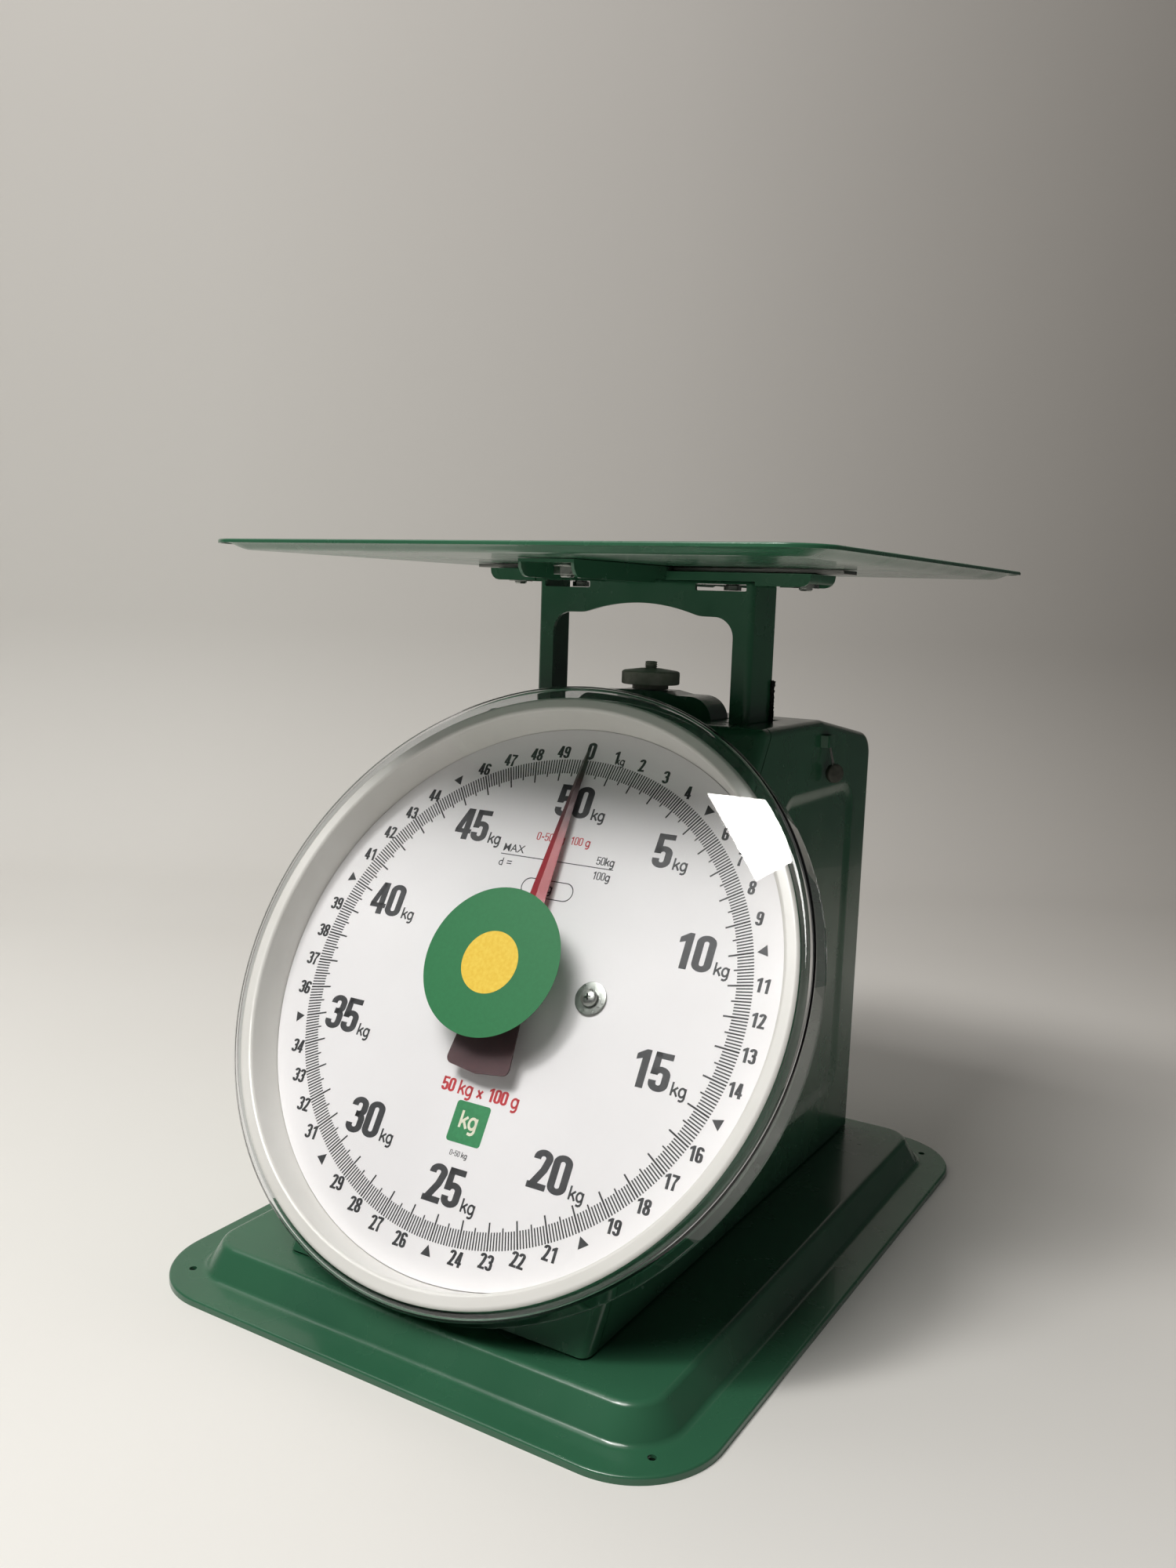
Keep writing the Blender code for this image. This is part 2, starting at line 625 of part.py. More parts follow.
def build_dial():
    floor = -PANEL_SETBACK + CLEARANCE + BOWL_SHEET / 2
    profile = [(BOWL_FLANGE_RADIUS, BOWL_RIM_HEIGHT - 0.004),
               (BOWL_FLANGE_RADIUS, BOWL_RIM_HEIGHT),
               (BOWL_RIM_RADIUS, BOWL_RIM_HEIGHT),
               (BOWL_FLOOR_RADIUS, floor),
               (BOWL_BORE_RADIUS, floor)]
    bowl = turned("dial_bowl", profile, WHITE, DIAL, steps=48)
    thicken(bowl, BOWL_SHEET, 0.0)
    spans = screw_holes()
    boolean(bowl, cutter("bowl_holes", rods("bowl_holes", spans, segments=14), DIAL))
    bore = ARBOR_DIAMETER / 2 + 0.001
    profile = [(bore, 0.0), (DIAL_PLATE_RADIUS, 0.0), (DIAL_PLATE_RADIUS, -DIAL_PLATE_THICKNESS),
               (bore, -DIAL_PLATE_THICKNESS)]
    plate = turned("dial_plate", profile, WHITE, DIAL, steps=48, closed=True)
    boolean(plate, cutter("dial_holes", rods("dial_holes", spans, segments=14), DIAL))
    corner = COVER_EDGE_RADIUS
    profile = [(0.0, COVER_HEIGHT), (COVER_TOP_RADIUS - corner, COVER_HEIGHT),
               (COVER_TOP_RADIUS - corner * 0.4, COVER_HEIGHT - corner * 0.18),
               (COVER_TOP_RADIUS, COVER_HEIGHT - corner * 0.75),
               (COVER_SKIRT_RADIUS, 0.0)]
    cover = turned("clear_cover", profile, CLEAR, DIAL, steps=48)
    thicken(cover, COVER_SHEET, 0.0)
    post_low = floor + BOWL_SHEET / 2 + CLEARANCE
    post_high = -DIAL_PLATE_THICKNESS - CLEARANCE
    bore = DIAL_SCREW_DIAMETER / 2 + HOLE_CLEARANCE
    head = CLEARANCE * 2 + 0.0008
    shank = DIAL_SCREW_DIAMETER / 2
    for side, sign in (("left", -1), ("right", 1)):
        place = (sign * DIAL_SCREW_X, DIAL_SCREW_V, 0.0)
        profile = [(bore, post_high), (DIAL_POST_DIAMETER / 2, post_high),
                   (DIAL_POST_DIAMETER / 2, post_low), (bore, post_low)]
        turned("dial_post_" + side, profile, STEEL, DIAL, 12, True, place)
        washer = DIAL_WASHER_DIAMETER / 2
        profile = [(bore, head - CLEARANCE), (washer, head - CLEARANCE), (washer, CLEARANCE),
                   (bore, CLEARANCE)]
        turned("dial_washer_" + side, profile, ZINC, DIAL, 12, True, place)
        profile = [(0.0, head + 0.0024), (0.0018, head + 0.0022), (0.0032, head + 0.0013),
                   (0.0037, head), (shank, head), (shank, -0.0128), (0.0, -0.0128)]
        turned("dial_screw_" + side, profile, ZINC, DIAL, 12, False, place)


def pointer_tail():
    """The balance tail from its right shoulder round to its left one."""
    root = (POINTER_TAIL_ROOT_HALF, -POINTER_TAIL_ROOT)
    corner = (POINTER_TAIL_END_HALF, POINTER_TAIL_SAG - POINTER_TAIL_LENGTH)
    right = [root, corner, (0.0, -POINTER_TAIL_LENGTH)]
    left = [(-x, y) for x, y in reversed(right[:-1])]
    return rounded_polygon(right + left, POINTER_TAIL_CORNER, 3)


def build_pointer():
    hub = POINTER_HUB_DIAMETER / 2
    bore = hub * 0.62
    point = SCALE_RADIUS - POINTER_POINT
    outline = [(-POINTER_BASE_HALF, hub * 0.9), (-POINTER_TIP_HALF, point), (0.0, SCALE_RADIUS)]
    outline += [(POINTER_TIP_HALF, point), (POINTER_BASE_HALF, hub * 0.9)]
    outline += arc((0.0, 0.0), hub * 0.95, 60.0, 0.0, 2)
    outline += pointer_tail()
    outline += arc((0.0, 0.0), hub * 0.95, 180.0, 120.0, 2)
    mesh = prism("pointer", outline, POINTER_SHEET)
    pointer = add("pointer", mesh, RED, DIAL)
    pointer.location = (0.0, 0.0, POINTER_HEIGHT)
    tool = rods("pointer_bore", [((0.0, 0.0, 0.0), 0.02, bore)], segments=24)
    boolean(pointer, cutter("pointer_bore", tool, DIAL))
    arbor = ARBOR_DIAMETER / 2 + HOLE_CLEARANCE
    seat = POINTER_HEIGHT - POINTER_SHEET / 2 - CLEARANCE
    profile = [(arbor, seat + 0.0028), (bore - CLEARANCE - 0.0008, seat + 0.0028),
               (bore - CLEARANCE, seat + 0.002), (bore - CLEARANCE, seat), (hub, seat),
               (hub, seat - 0.0022), (hub * 0.6, seat - 0.0034), (arbor, seat - 0.0034)]
    turned("pointer_hub", profile, BRASS, DIAL, 12, True)


def pinion_outline():
    points = []
    step = 2 * math.pi / PINION_TEETH
    root = PINION_PITCH_RADIUS - GEAR_DEDENDUM
    tip = PINION_PITCH_RADIUS + GEAR_ADDENDUM
    at_pitch = GEAR_TOOTH / 2 / PINION_PITCH_RADIUS
    for tooth in range(PINION_TEETH):
        middle = tooth * step
        for radius, offset in ((root, -at_pitch * 1.25), (PINION_PITCH_RADIUS, -at_pitch),
                               (tip, -at_pitch * 0.42), (tip, at_pitch * 0.42),
                               (PINION_PITCH_RADIUS, at_pitch), (root, at_pitch * 1.25)):
            angle = middle + offset
            points.append((radius * math.cos(angle), radius * math.sin(angle)))
    return points


def rack_outline():
    """Rack teeth that face the pinion at -X; the tooth gap at height 0 takes a pinion tooth."""
    pitch = math.pi * GEAR_MODULE
    tip = RACK_OFFSET - GEAR_ADDENDUM
    root = RACK_OFFSET + GEAR_DEDENDUM
    slope = math.tan(math.radians(22.0))
    first = -int(RACK_BELOW / pitch)
    last = int(RACK_ABOVE * 0.8 / pitch)
    points = [(RACK_OFFSET + RACK_BACK, RACK_ABOVE), (root, RACK_ABOVE)]
    for i in range(last, first - 1, -1):
        middle = (i + 0.5) * pitch
        at_tip = GEAR_TOOTH / 2 - GEAR_ADDENDUM * slope
        at_root = GEAR_TOOTH / 2 + GEAR_DEDENDUM * slope
        points += [(root, middle + at_root), (tip, middle + at_tip), (tip, middle - at_tip),
                   (root, middle - at_root)]
    points += [(root, -RACK_BELOW - 0.001), (RACK_OFFSET + RACK_BACK, -RACK_BELOW - 0.001)]
    return points


def build_movement():
    length = PINION_FRONT_W - PINION_BACK_W
    arbor = add("pinion_arbor", prism("pinion_arbor", pinion_outline(), length), BRASS, DIAL)
    arbor.location = (0.0, 0.0, (PINION_FRONT_W + PINION_BACK_W) / 2)
    low = BRACKET_BACK_W - BRACKET_SHEET - 0.003
    high = POINTER_HEIGHT + 0.003
    tool = rods("arbor_spindle", [((0.0, 0.0, low), high - low, ARBOR_DIAMETER / 2)], segments=16)
    boolean(arbor, cutter("arbor_spindle", tool, DIAL), "UNION")
    rack = add("rack", prism("rack", rack_outline(), RACK_FACE), BRASS, DIAL)
    rack.location = (0.0, 0.0, RACK_W)
    front = -PANEL_SETBACK - CASE_SHEET - CLEARANCE
    half = BRACKET_HALF_WIDTH
    tall = BRACKET_HALF_HEIGHT
    ear = half + BRACKET_EAR
    sheet = BRACKET_SHEET
    back = BRACKET_BACK_W
    path = [(-ear, front), (-half + sheet, front), (-half + sheet, back), (half - sheet, back),
            (half - sheet, front), (ear, front), (ear, front - sheet), (half, front - sheet),
            (half, back - sheet), (-half, back - sheet), (-half, front - sheet), (-ear, front - sheet)]
    mesh = prism("movement_bracket", path, tall * 2)
    mesh.transform(Matrix.Rotation(math.pi / 2, 4, "X"))
    bracket = add("movement_bracket", mesh, ZINC, DIAL)
    bore = ARBOR_DIAMETER / 2 + HOLE_CLEARANCE
    screw = 0.0015 + HOLE_CLEARANCE
    spans = [((0.0, 0.0, BRACKET_BACK_W - 0.01), 0.06, bore)]
    spans += [((sign * (half + ear) / 2, 0.0, front - 0.01), 0.02, screw) for sign in (-1, 1)]
    boolean(bracket, cutter("bracket_holes", rods("bracket_holes", spans, segments=12), DIAL))
    disc = half - sheet - 0.002
    boss = BOWL_BORE_RADIUS - 0.003
    profile = [(bore, front + 0.002), (boss, front + 0.002), (boss, front), (disc, front),
               (disc, front - sheet), (bore, front - sheet)]
    turned("front_bearing", profile, BRASS, DIAL, 16, True)


def frame_hump(half, bend, inset):
    """The bent strip over the case from right to left, with the raised seat of the knob."""
    shoulder = FRAME_TOP - FRAME_SEAT_RISE
    base = FRAME_SEAT_HALF + FRAME_SEAT_SLOPE
    right = arc((half - bend, shoulder - bend), bend - inset, 0.0, 90.0, 5)
    right += [(base, shoulder - inset), (FRAME_SEAT_HALF, FRAME_TOP - inset)]
    return right + [(-x, z) for x, z in reversed(right)]


def build_frame():
    half = FRAME_WIDTH / 2
    bottom = BASE_TOP + CLEARANCE
    foot = half + FRAME_FOOT
    bend = FRAME_BEND
    inner = half - FRAME_SHEET
    path = [(foot, bottom), (foot, bottom + FRAME_SHEET), (half, bottom + FRAME_SHEET)]
    path += frame_hump(half, bend, 0.0)
    path += [(-half, bottom + FRAME_SHEET), (-foot, bottom + FRAME_SHEET)]
    path += [(-foot, bottom), (-inner, bottom)]
    path += reversed(frame_hump(half, bend, FRAME_SHEET))
    path += [(inner, bottom)]
    mesh = prism("main_frame", path, FRAME_DEPTH)
    mesh.transform(Matrix.Translation((0.0, LOAD_Y, 0.0)) @ Matrix.Rotation(math.pi / 2, 4, "X"))
    frame = add("main_frame", mesh, GREEN)
    low = FRAME_TOP - FRAME_SEAT_RISE - bend - FRAME_CHEEK_BELOW
    wide = half - FRAME_CHEEK_INSET
    cheek = [(wide, low)] + frame_hump(half, bend, FRAME_CHEEK_INSET) + [(-wide, low)]
    for side, sign in (("front", -1), ("rear", 1)):
        name = "frame_cheek_" + side
        mesh = prism(name, cheek, FRAME_CHEEK_SHEET)
        edge = LOAD_Y + sign * (FRAME_DEPTH / 2 - FRAME_CHEEK_INSET - FRAME_CHEEK_SHEET / 2)
        mesh.transform(Matrix.Translation((0.0, edge, 0.0)) @ Matrix.Rotation(math.pi / 2, 4, "X"))
        boolean(frame, cutter(name, mesh), "UNION")
    reach = CROSSBAR_DIAMETER / 2 + SLIDE_CLEARANCE
    window = boxes("frame_windows", ((-foot, LOAD_Y - reach, CROSSBAR_Z - TRAVEL - reach),
                                     (foot, LOAD_Y + reach, CROSSBAR_Z + reach)))
    boolean(frame, cutter("frame_windows", window))
    bore = STUD_DIAMETER / 2 + HOLE_CLEARANCE
    spans = [((0.0, LOAD_Y, FRAME_TOP - 0.01), 0.02, bore)]
    spans += [((sign * (half + foot) / 2, LOAD_Y, BASE_TOP - 0.01), 0.02, 0.0033) for sign in (-1, 1)]
    boolean(frame, cutter("frame_holes", rods("frame_holes", spans, segments=18)))


def build_pillar():
    half = YOKE_WIDTH / 2 - PILLAR_INSET
    bottom = BASE_TOP + CLEARANCE
    top = UPPER_LEVER_Z - TRAVEL / 2 + 0.012
    front = LEVER_PIVOT_Y - 0.009
    rear = front + PILLAR_DEPTH
    sheet = PILLAR_SHEET
    mesh = boxes("link_pillar", ((-half, front, bottom), (half, rear, top)))
    pillar = add("lever_pillar", mesh, ZINC)
    inside = boxes("pillar_inside", ((-half + sheet, front - 0.01, bottom + sheet),
                                     (half - sheet, rear - sheet, top + 0.01)))
    boolean(pillar, cutter("pillar_inside", inside))
    bore = PIVOT_DIAMETER / 2 + HOLE_CLEARANCE
    spans = [((-0.1, LEVER_PIVOT_Y, z - TRAVEL / 2), 0.2, bore) for z in (UPPER_LEVER_Z, LOWER_LEVER_Z)]
    boolean(pillar, cutter("pillar_holes", rods("pillar_holes", spans, axis="X", segments=16)))


def build_lever(name, empty):
    """A lever bent from sheet: two side strips joined by a web, modelled level about its pivot."""
    outer = LEVER_X + LEVER_SHEET
    end = LEVER_HEIGHT / 2
    half = LEVER_HEIGHT / 2
    bm = bmesh.new()
    box_into(bm, (-outer, -LEVER_LENGTH - end, -half), (outer, end, half))
    ends = [edge for edge in bm.edges if abs(edge.verts[0].co.x - edge.verts[1].co.x) > outer]
    bmesh.ops.bevel(bm, geom=ends, offset=half * 0.7, segments=2, profile=0.5, affect="EDGES")
    lever = add(name, to_mesh(bm, name), ZINC, empty)
    lever.rotation_euler = (-LEVER_SWING, 0.0, 0.0)
    inner = LEVER_X
    web = half - LEVER_SHEET
    under = boxes(name + "_under", ((-inner, -LEVER_LENGTH - 0.02, -0.02), (inner, 0.02, web)))
    boolean(lever, cutter(name + "_under", under, lever))
    near = ((-inner, -LEVER_LENGTH - 0.02, web - 0.001), (inner, -LEVER_WEB_FRONT, 0.02))
    far = ((-inner, -LEVER_WEB_REAR, web - 0.001), (inner, 0.02, 0.02))
    ends = boxes(name + "_ends", near, far)
    boolean(lever, cutter(name + "_ends", ends, lever))
    bore = PIVOT_DIAMETER / 2 + HOLE_CLEARANCE
    play = LEVER_LENGTH * (1.0 - math.cos(LEVER_SWING)) + 0.0003
    outline = arc((-LEVER_LENGTH - 0.0003, 0.0), bore, 90.0, 270.0, 4)
    outline += arc((-LEVER_LENGTH + play, 0.0), bore, -90.0, 90.0, 4)
    slot = prism(name + "_slot", outline, 0.3)
    slot.transform(Matrix(((0, 0, 1, 0), (1, 0, 0, 0), (0, 1, 0, 0), (0, 0, 0, 1))))
    boolean(lever, cutter(name + "_slot", slot, lever))
    hole = rods(name + "_hole", [((-0.1, 0.0, 0.0), 0.2, bore)], axis="X", segments=10)
    boolean(lever, cutter(name + "_hole", hole, lever))


def build_levers():
    build_lever("upper_lever", UPPER)
    build_lever("lower_lever", LOWER)
    reach = LEVER_X + LEVER_SHEET + 0.0016
    for name, z in (("upper", UPPER_LEVER_Z), ("lower", LOWER_LEVER_Z)):
        rod = rods(name + "_pivot_rod", [((-reach, LEVER_PIVOT_Y, z - TRAVEL / 2), reach * 2,
                                          PIVOT_DIAMETER / 2)], axis="X", segments=16)
        add(name + "_pivot_rod", rod, STEEL)
        for side, sign in (("left", -1), ("right", 1)):
            radius = PIVOT_DIAMETER / 2
            inside = YOKE_WIDTH / 2 - YOKE_SHEET - CLEARANCE
            head = radius + 0.0016
            under = inside - 0.0015
            profile = [(0.0, reach), (radius - 0.0005, reach), (radius, reach - 0.0005), (radius, inside),
                       (head, inside), (head, under), (0.0, under)]
            stud = turned("yoke_stud_{}_{}".format(name, side), profile, STEEL, PLATFORM, 12, False,
                          (0.0, 0.0, z))
            stud.rotation_euler = (0.0, sign * math.pi / 2, 0.0)


def arch_outline():
    inner = YOKE_WIDTH / 2 - YOKE_LEG_FACE
    radius = ARCH_CORNER_RADIUS
    low = YOKE_BOTTOM - 0.01
    right = [(inner, low)]
    right += arc((inner - radius, ARCH_STEP_Z - radius), radius, 0.0, 90.0, 4)
    half = ARCH_HALF_WIDTH
    rise = ARCH_PEAK_Z - ARCH_STEP_Z
    bow = (half * half + rise * rise) / (2 * rise)
    lean = math.degrees(math.asin(half / bow))
    middle = arc((0.0, ARCH_PEAK_Z - bow), bow, 90.0 - lean, 90.0 + lean, 14)
    left = [(-x, z) for x, z in reversed(right)]
    return right + middle + left


def build_yoke():
    half = YOKE_WIDTH / 2
    bm = bmesh.new()
    box_into(bm, (-half, -YOKE_DEPTH / 2, YOKE_BOTTOM), (half, YOKE_DEPTH / 2, YOKE_TOP))
    front = -YOKE_DEPTH / 2 + 1e-6
    round_edges = []
    for edge in bm.edges:
        a, b = edge.verts[0].co, edge.verts[1].co
        on_front = a.y < front and b.y < front
        on_top = a.z > YOKE_TOP - 1e-6 and b.z > YOKE_TOP - 1e-6
        on_side = abs(a.x - b.x) < 1e-6
        upright = abs(a.z - b.z) > 1e-3
        if (on_front and (on_top or upright)) or (on_top and on_side):
            round_edges.append(edge)
    bmesh.ops.bevel(bm, geom=round_edges, offset=YOKE_EDGE_RADIUS, segments=3, profile=0.5, affect="EDGES")
    yoke = add("yoke", to_mesh(bm, "yoke"), GREEN, PLATFORM)
    sheet = YOKE_SHEET
    inside = boxes("yoke_inside", ((-half + sheet, -YOKE_DEPTH / 2 + sheet, YOKE_BOTTOM - 0.02),
                                   (half - sheet, YOKE_DEPTH, YOKE_TOP - sheet)))
    boolean(yoke, cutter("yoke_inside", inside, PLATFORM))
    arch = prism("yoke_arch", arch_outline(), YOKE_DEPTH)
    arch.transform(Matrix.Rotation(math.pi / 2, 4, "X"))
    arch.transform(Matrix.Translation((0.0, -YOKE_DEPTH / 2, 0.0)))
    boolean(yoke, cutter("yoke_arch", arch, PLATFORM))
    slot_top = YOKE_TOP - YOKE_SHEET - YOKE_SLOT_BELOW_TOP
    slots = []
    for sign in (-1, 1):
        span = sorted((sign * YOKE_SLOT_INNER, sign * YOKE_SLOT_OUTER))
        slots.append(((span[0], -YOKE_DEPTH, slot_top - YOKE_SLOT_HEIGHT),
                      (span[1], -YOKE_DEPTH / 2 + sheet * 2, slot_top)))
    boolean(yoke, cutter("yoke_slots", boxes("yoke_slots", *slots), PLATFORM))
    pivot_bore = PIVOT_DIAMETER / 2 + HOLE_CLEARANCE
    bar_bore = CROSSBAR_DIAMETER / 2 + HOLE_CLEARANCE
    spans = [((-0.1, 0.0, z), 0.2, pivot_bore) for z in (UPPER_LEVER_Z, LOWER_LEVER_Z)]
    spans += [((-0.1, 0.0, CROSSBAR_Z), 0.2, bar_bore)]
    boolean(yoke, cutter("yoke_bores", rods("yoke_bores", spans, axis="X", segments=12), PLATFORM))
    spans = [((sign * YOKE_BOLT_X, 0.0, YOKE_TOP - 0.01), 0.02, 0.0033) for sign in (-1, 1)]
    boolean(yoke, cutter("yoke_bolt_holes", rods("yoke_bolt_holes", spans, segments=12), PLATFORM))
    build_crossbar()


def hex_nut(name, look, parent, bore, flats, height, location, axis="Z", washer=0.0):
    """A hexagon nut standing on +Z, with an optional round washer joined on top of it."""
    radius = flats / math.sqrt(3.0)
    outline = arc((0.0, 0.0), radius, 30.0, 330.0, 5)
    nut = add(name, prism(name, outline, height), look, parent)
    nut.location = location
    if axis == "X":
        nut.rotation_euler = (0.0, math.pi / 2, 0.0)
    if washer:
        sunk = 0.0002
        span = ((0.0, 0.0, height / 2 - sunk), WASHER_THICKNESS + sunk, washer / 2)
        ring = rods(name + "_washer", [span], segments=12)
        boolean(nut, cutter(name + "_washer", ring, nut), "UNION")
    hole = rods(name + "_bore", [((0.0, 0.0, -0.05), 0.1, bore)], segments=12)
    boolean(nut, cutter(name + "_bore", hole, nut))
    return nut


def build_crossbar():
    reach = YOKE_WIDTH / 2 + CROSSBAR_NUT_HEIGHT + 0.0012
    span = ((-reach, 0.0, CROSSBAR_Z), reach * 2, CROSSBAR_DIAMETER / 2)
    bar = rods("spring_crossbar", [span], axis="X", segments=20)
    add("spring_crossbar", bar, STEEL, PLATFORM)
    for side, sign in (("left", -1), ("right", 1)):
        place = (sign * (YOKE_WIDTH / 2 + CLEARANCE + CROSSBAR_NUT_HEIGHT / 2), 0.0, CROSSBAR_Z)
        bore = CROSSBAR_DIAMETER / 2 + HOLE_CLEARANCE
        hex_nut("crossbar_nut_" + side, ZINC, PLATFORM, bore, CROSSBAR_NUT_FLATS, CROSSBAR_NUT_HEIGHT,
                place, "X")


def spring_path(sign):
    """Wire centre line: hook under the cross bar, close coils, hook over the hanger."""
    wire = SPRING_WIRE / 2
    low_radius = CROSSBAR_DIAMETER / 2 + CLEARANCE + wire
    high_radius = HANGER_DIAMETER / 2 + CLEARANCE + wire
    x = sign * SPRING_X
    points = []
    for y, z in arc((0.0, CROSSBAR_Z), low_radius, 20.0, -180.0, 8):
        points.append((x, y, z))
    coil_low = CROSSBAR_Z + low_radius + SPRING_RADIUS
    coil_high = HANGER_Z - high_radius - SPRING_RADIUS
    total = SPRING_TURNS * SPRING_STEPS
    for i in range(total + 1):
        angle = -math.pi / 2 + 2 * math.pi * i / SPRING_STEPS
        z = coil_low + (coil_high - coil_low) * i / total
        points.append((x + SPRING_RADIUS * math.cos(angle), SPRING_RADIUS * math.sin(angle), z))
    for y, z in arc((0.0, HANGER_Z), high_radius, 180.0, -20.0, 8):
        points.append((x, y, z))
    return points


def build_springs():
    for side, sign in (("left", -1), ("right", 1)):
        name = "spring_" + side
        curve = bpy.data.curves.new(name, "CURVE")
        curve.dimensions = "3D"
        curve.bevel_depth = SPRING_WIRE / 2
        curve.bevel_resolution = 0
        curve.use_fill_caps = True
        points = spring_path(sign)
        spline = curve.splines.new("POLY")
        spline.points.add(len(points) - 1)
        for point, place in zip(spline.points, points):
            point.co = (*place, 1.0)
        holder = bpy.data.objects.new(name + "_wire", curve)
        mesh = bpy.data.meshes.new_from_object(holder)
        bpy.data.objects.remove(holder)
        bpy.data.curves.remove(curve)
        bm = bmesh.new()
        bm.from_mesh(mesh)
        bpy.data.meshes.remove(mesh)
        bmesh.ops.remove_doubles(bm, verts=bm.verts, dist=1e-6)
        add(name, to_mesh(bm, name), STEEL, ZERO)


def build_zero():
    neck_low = FRAME_TOP + CLEARANCE
    rim_low = neck_low + KNOB_NECK
    rim_high = rim_low + KNOB_RIM
    bore = STUD_DIAMETER / 2 + HOLE_CLEARANCE
    radius = KNOB_DIAMETER / 2
    neck = KNOB_NECK_DIAMETER / 2
    top = rim_high + KNOB_CONE
    profile = [(bore, top), (STUD_DIAMETER * 0.9, top), (radius - 0.001, rim_high),
               (radius, rim_high - 0.001), (radius - 0.0003, rim_low + 0.0008),
               (radius - 0.0012, rim_low), (neck, rim_low), (neck, neck_low), (bore, neck_low)]
    turned("zero_knob", profile, DARK, ZERO, 20, True)
    block = HANGER_BLOCK / 2
    bm = bmesh.new()
    box_into(bm, (-block, -block, HANGER_Z - block), (block, block, HANGER_Z + block))
    hanger = add("spring_hanger", to_mesh(bm, "spring_hanger"), STEEL, ZERO)
    span = ((-HANGER_HALF, 0.0, HANGER_Z), HANGER_HALF * 2, HANGER_DIAMETER / 2)
    rod = rods("hanger_rod", [span], axis="X", segments=16)
    boolean(hanger, cutter("hanger_rod", rod, ZERO), "UNION")
    seat = HANGER_Z - block * 0.3
    hole = rods("hanger_bore", [((0.0, 0.0, seat), 0.05, bore)], segments=16)
    boolean(hanger, cutter("hanger_bore", hole, ZERO))
    tip = 0.0006
    shank = STUD_DIAMETER / 2
    low = seat + CLEARANCE
    profile = [(0.0, STUD_TOP), (shank - tip, STUD_TOP), (shank, STUD_TOP - tip), (shank, low), (0.0, low)]
    turned("zero_stud", profile, ZINC, ZERO, 16)


def build_rack_arm():
    """The bar across the yoke and the plate that reaches forward from it to the rack."""
    rear = YOKE_FRONT_Y - CLEARANCE
    front = rear - CARRIER_THICKNESS
    half = YOKE_WIDTH / 2 - 0.001
    low = CARRIER_Z - CARRIER_HEIGHT / 2
    high = CARRIER_Z + CARRIER_HEIGHT / 2
    span = ((-half, front - LOAD_Y, low), (half, rear - LOAD_Y, high))
    bar = add("rack_carrier", boxes("rack_carrier", span), ZINC, PLATFORM)
    screw_x = YOKE_WIDTH / 2 - YOKE_LEG_FACE / 2
    spans = [((sign * screw_x, -0.05, CARRIER_Z), 0.1, 0.0018) for sign in (-1, 1)]
    boolean(bar, cutter("carrier_holes", rods("carrier_holes", spans, axis="Y", segments=12), PLATFORM))
    yoke = bpy.data.objects["yoke"]
    boolean(yoke, bpy.data.objects["carrier_holes"])
    for side, sign in (("left", -1), ("right", 1)):
        head = front - CLEARANCE - LOAD_Y
        profile = [(0.0, 0.002), (0.0022, 0.0018), (0.003, 0.001), (0.003, 0.0),
                   (0.0015, 0.0), (0.0015, -0.008), (0.0, -0.008)]
        profile = [(radius, height - head) for radius, height in profile]
        screw = turned("carrier_screw_" + side, profile, ZINC, PLATFORM, 12, False,
                       (sign * screw_x, 0.0, CARRIER_Z))
        screw.rotation_euler = (math.pi / 2, 0.0, 0.0)
    lean_v = Vector((math.sin(DIAL_LEAN), math.cos(DIAL_LEAN)))
    lean_w = Vector((-math.cos(DIAL_LEAN), math.sin(DIAL_LEAN)))
    centre = Vector((DIAL_Y, DIAL_Z))

    def place(v, w):
        return centre + lean_v * v + lean_w * w
    near = RACK_W + RACK_FACE / 2
    far = RACK_W - RACK_FACE / 2
    arm_low = CARRIER_Z - ARM_HEIGHT / 2
    arm_high = CARRIER_Z + ARM_HEIGHT / 2
    end = front - CLEARANCE
    foot_v = RACK_ABOVE * 0.42
    outline = [place(foot_v, near), place(foot_v, far), place(RACK_ABOVE * 0.78, far)]
    knee = place(RACK_ABOVE * 0.78, far)
    outline += [Vector((knee.x + 0.008, arm_low)), Vector((end, arm_low)), Vector((end, arm_high)),
                Vector((knee.x + 0.002, arm_high)), place(RACK_ABOVE, near)]
    mesh = prism("rack_arm", [(point.x, point.y) for point in outline], ARM_SHEET)
    mesh.transform(Matrix(((0, 0, 1, 0), (1, 0, 0, -LOAD_Y), (0, 1, 0, 0), (0, 0, 0, 1))))
    start = RACK_OFFSET + RACK_BACK + CLEARANCE
    mesh.transform(Matrix.Translation((start + ARM_SHEET / 2, 0.0, 0.0)))
    arm = add("rack_arm", mesh, ZINC, PLATFORM)
    tab = boxes("rack_arm_tab", ((start + ARM_SHEET / 2, end - ARM_SHEET - LOAD_Y, arm_low),
                                 (start + ARM_TAB, end - LOAD_Y, arm_high)))
    boolean(arm, cutter("rack_arm_tab", tab, PLATFORM), "UNION")


def round_ended_box(bm, low, high, axis, radius):
    """A box whose lower edges at both ends along an axis are rounded."""
    verts = box_into(bm, low, high)
    edges = set(edge for vert in verts for edge in vert.link_edges)
    other = 1 - axis
    ends = [edge for edge in edges
            if all(abs(vert.co.z - low[2]) < 1e-6 for vert in edge.verts)
            and abs(edge.verts[0].co[other] - edge.verts[1].co[other]) > 1e-6]
    bmesh.ops.bevel(bm, geom=ends, offset=radius, segments=4, profile=0.5, affect="EDGES")


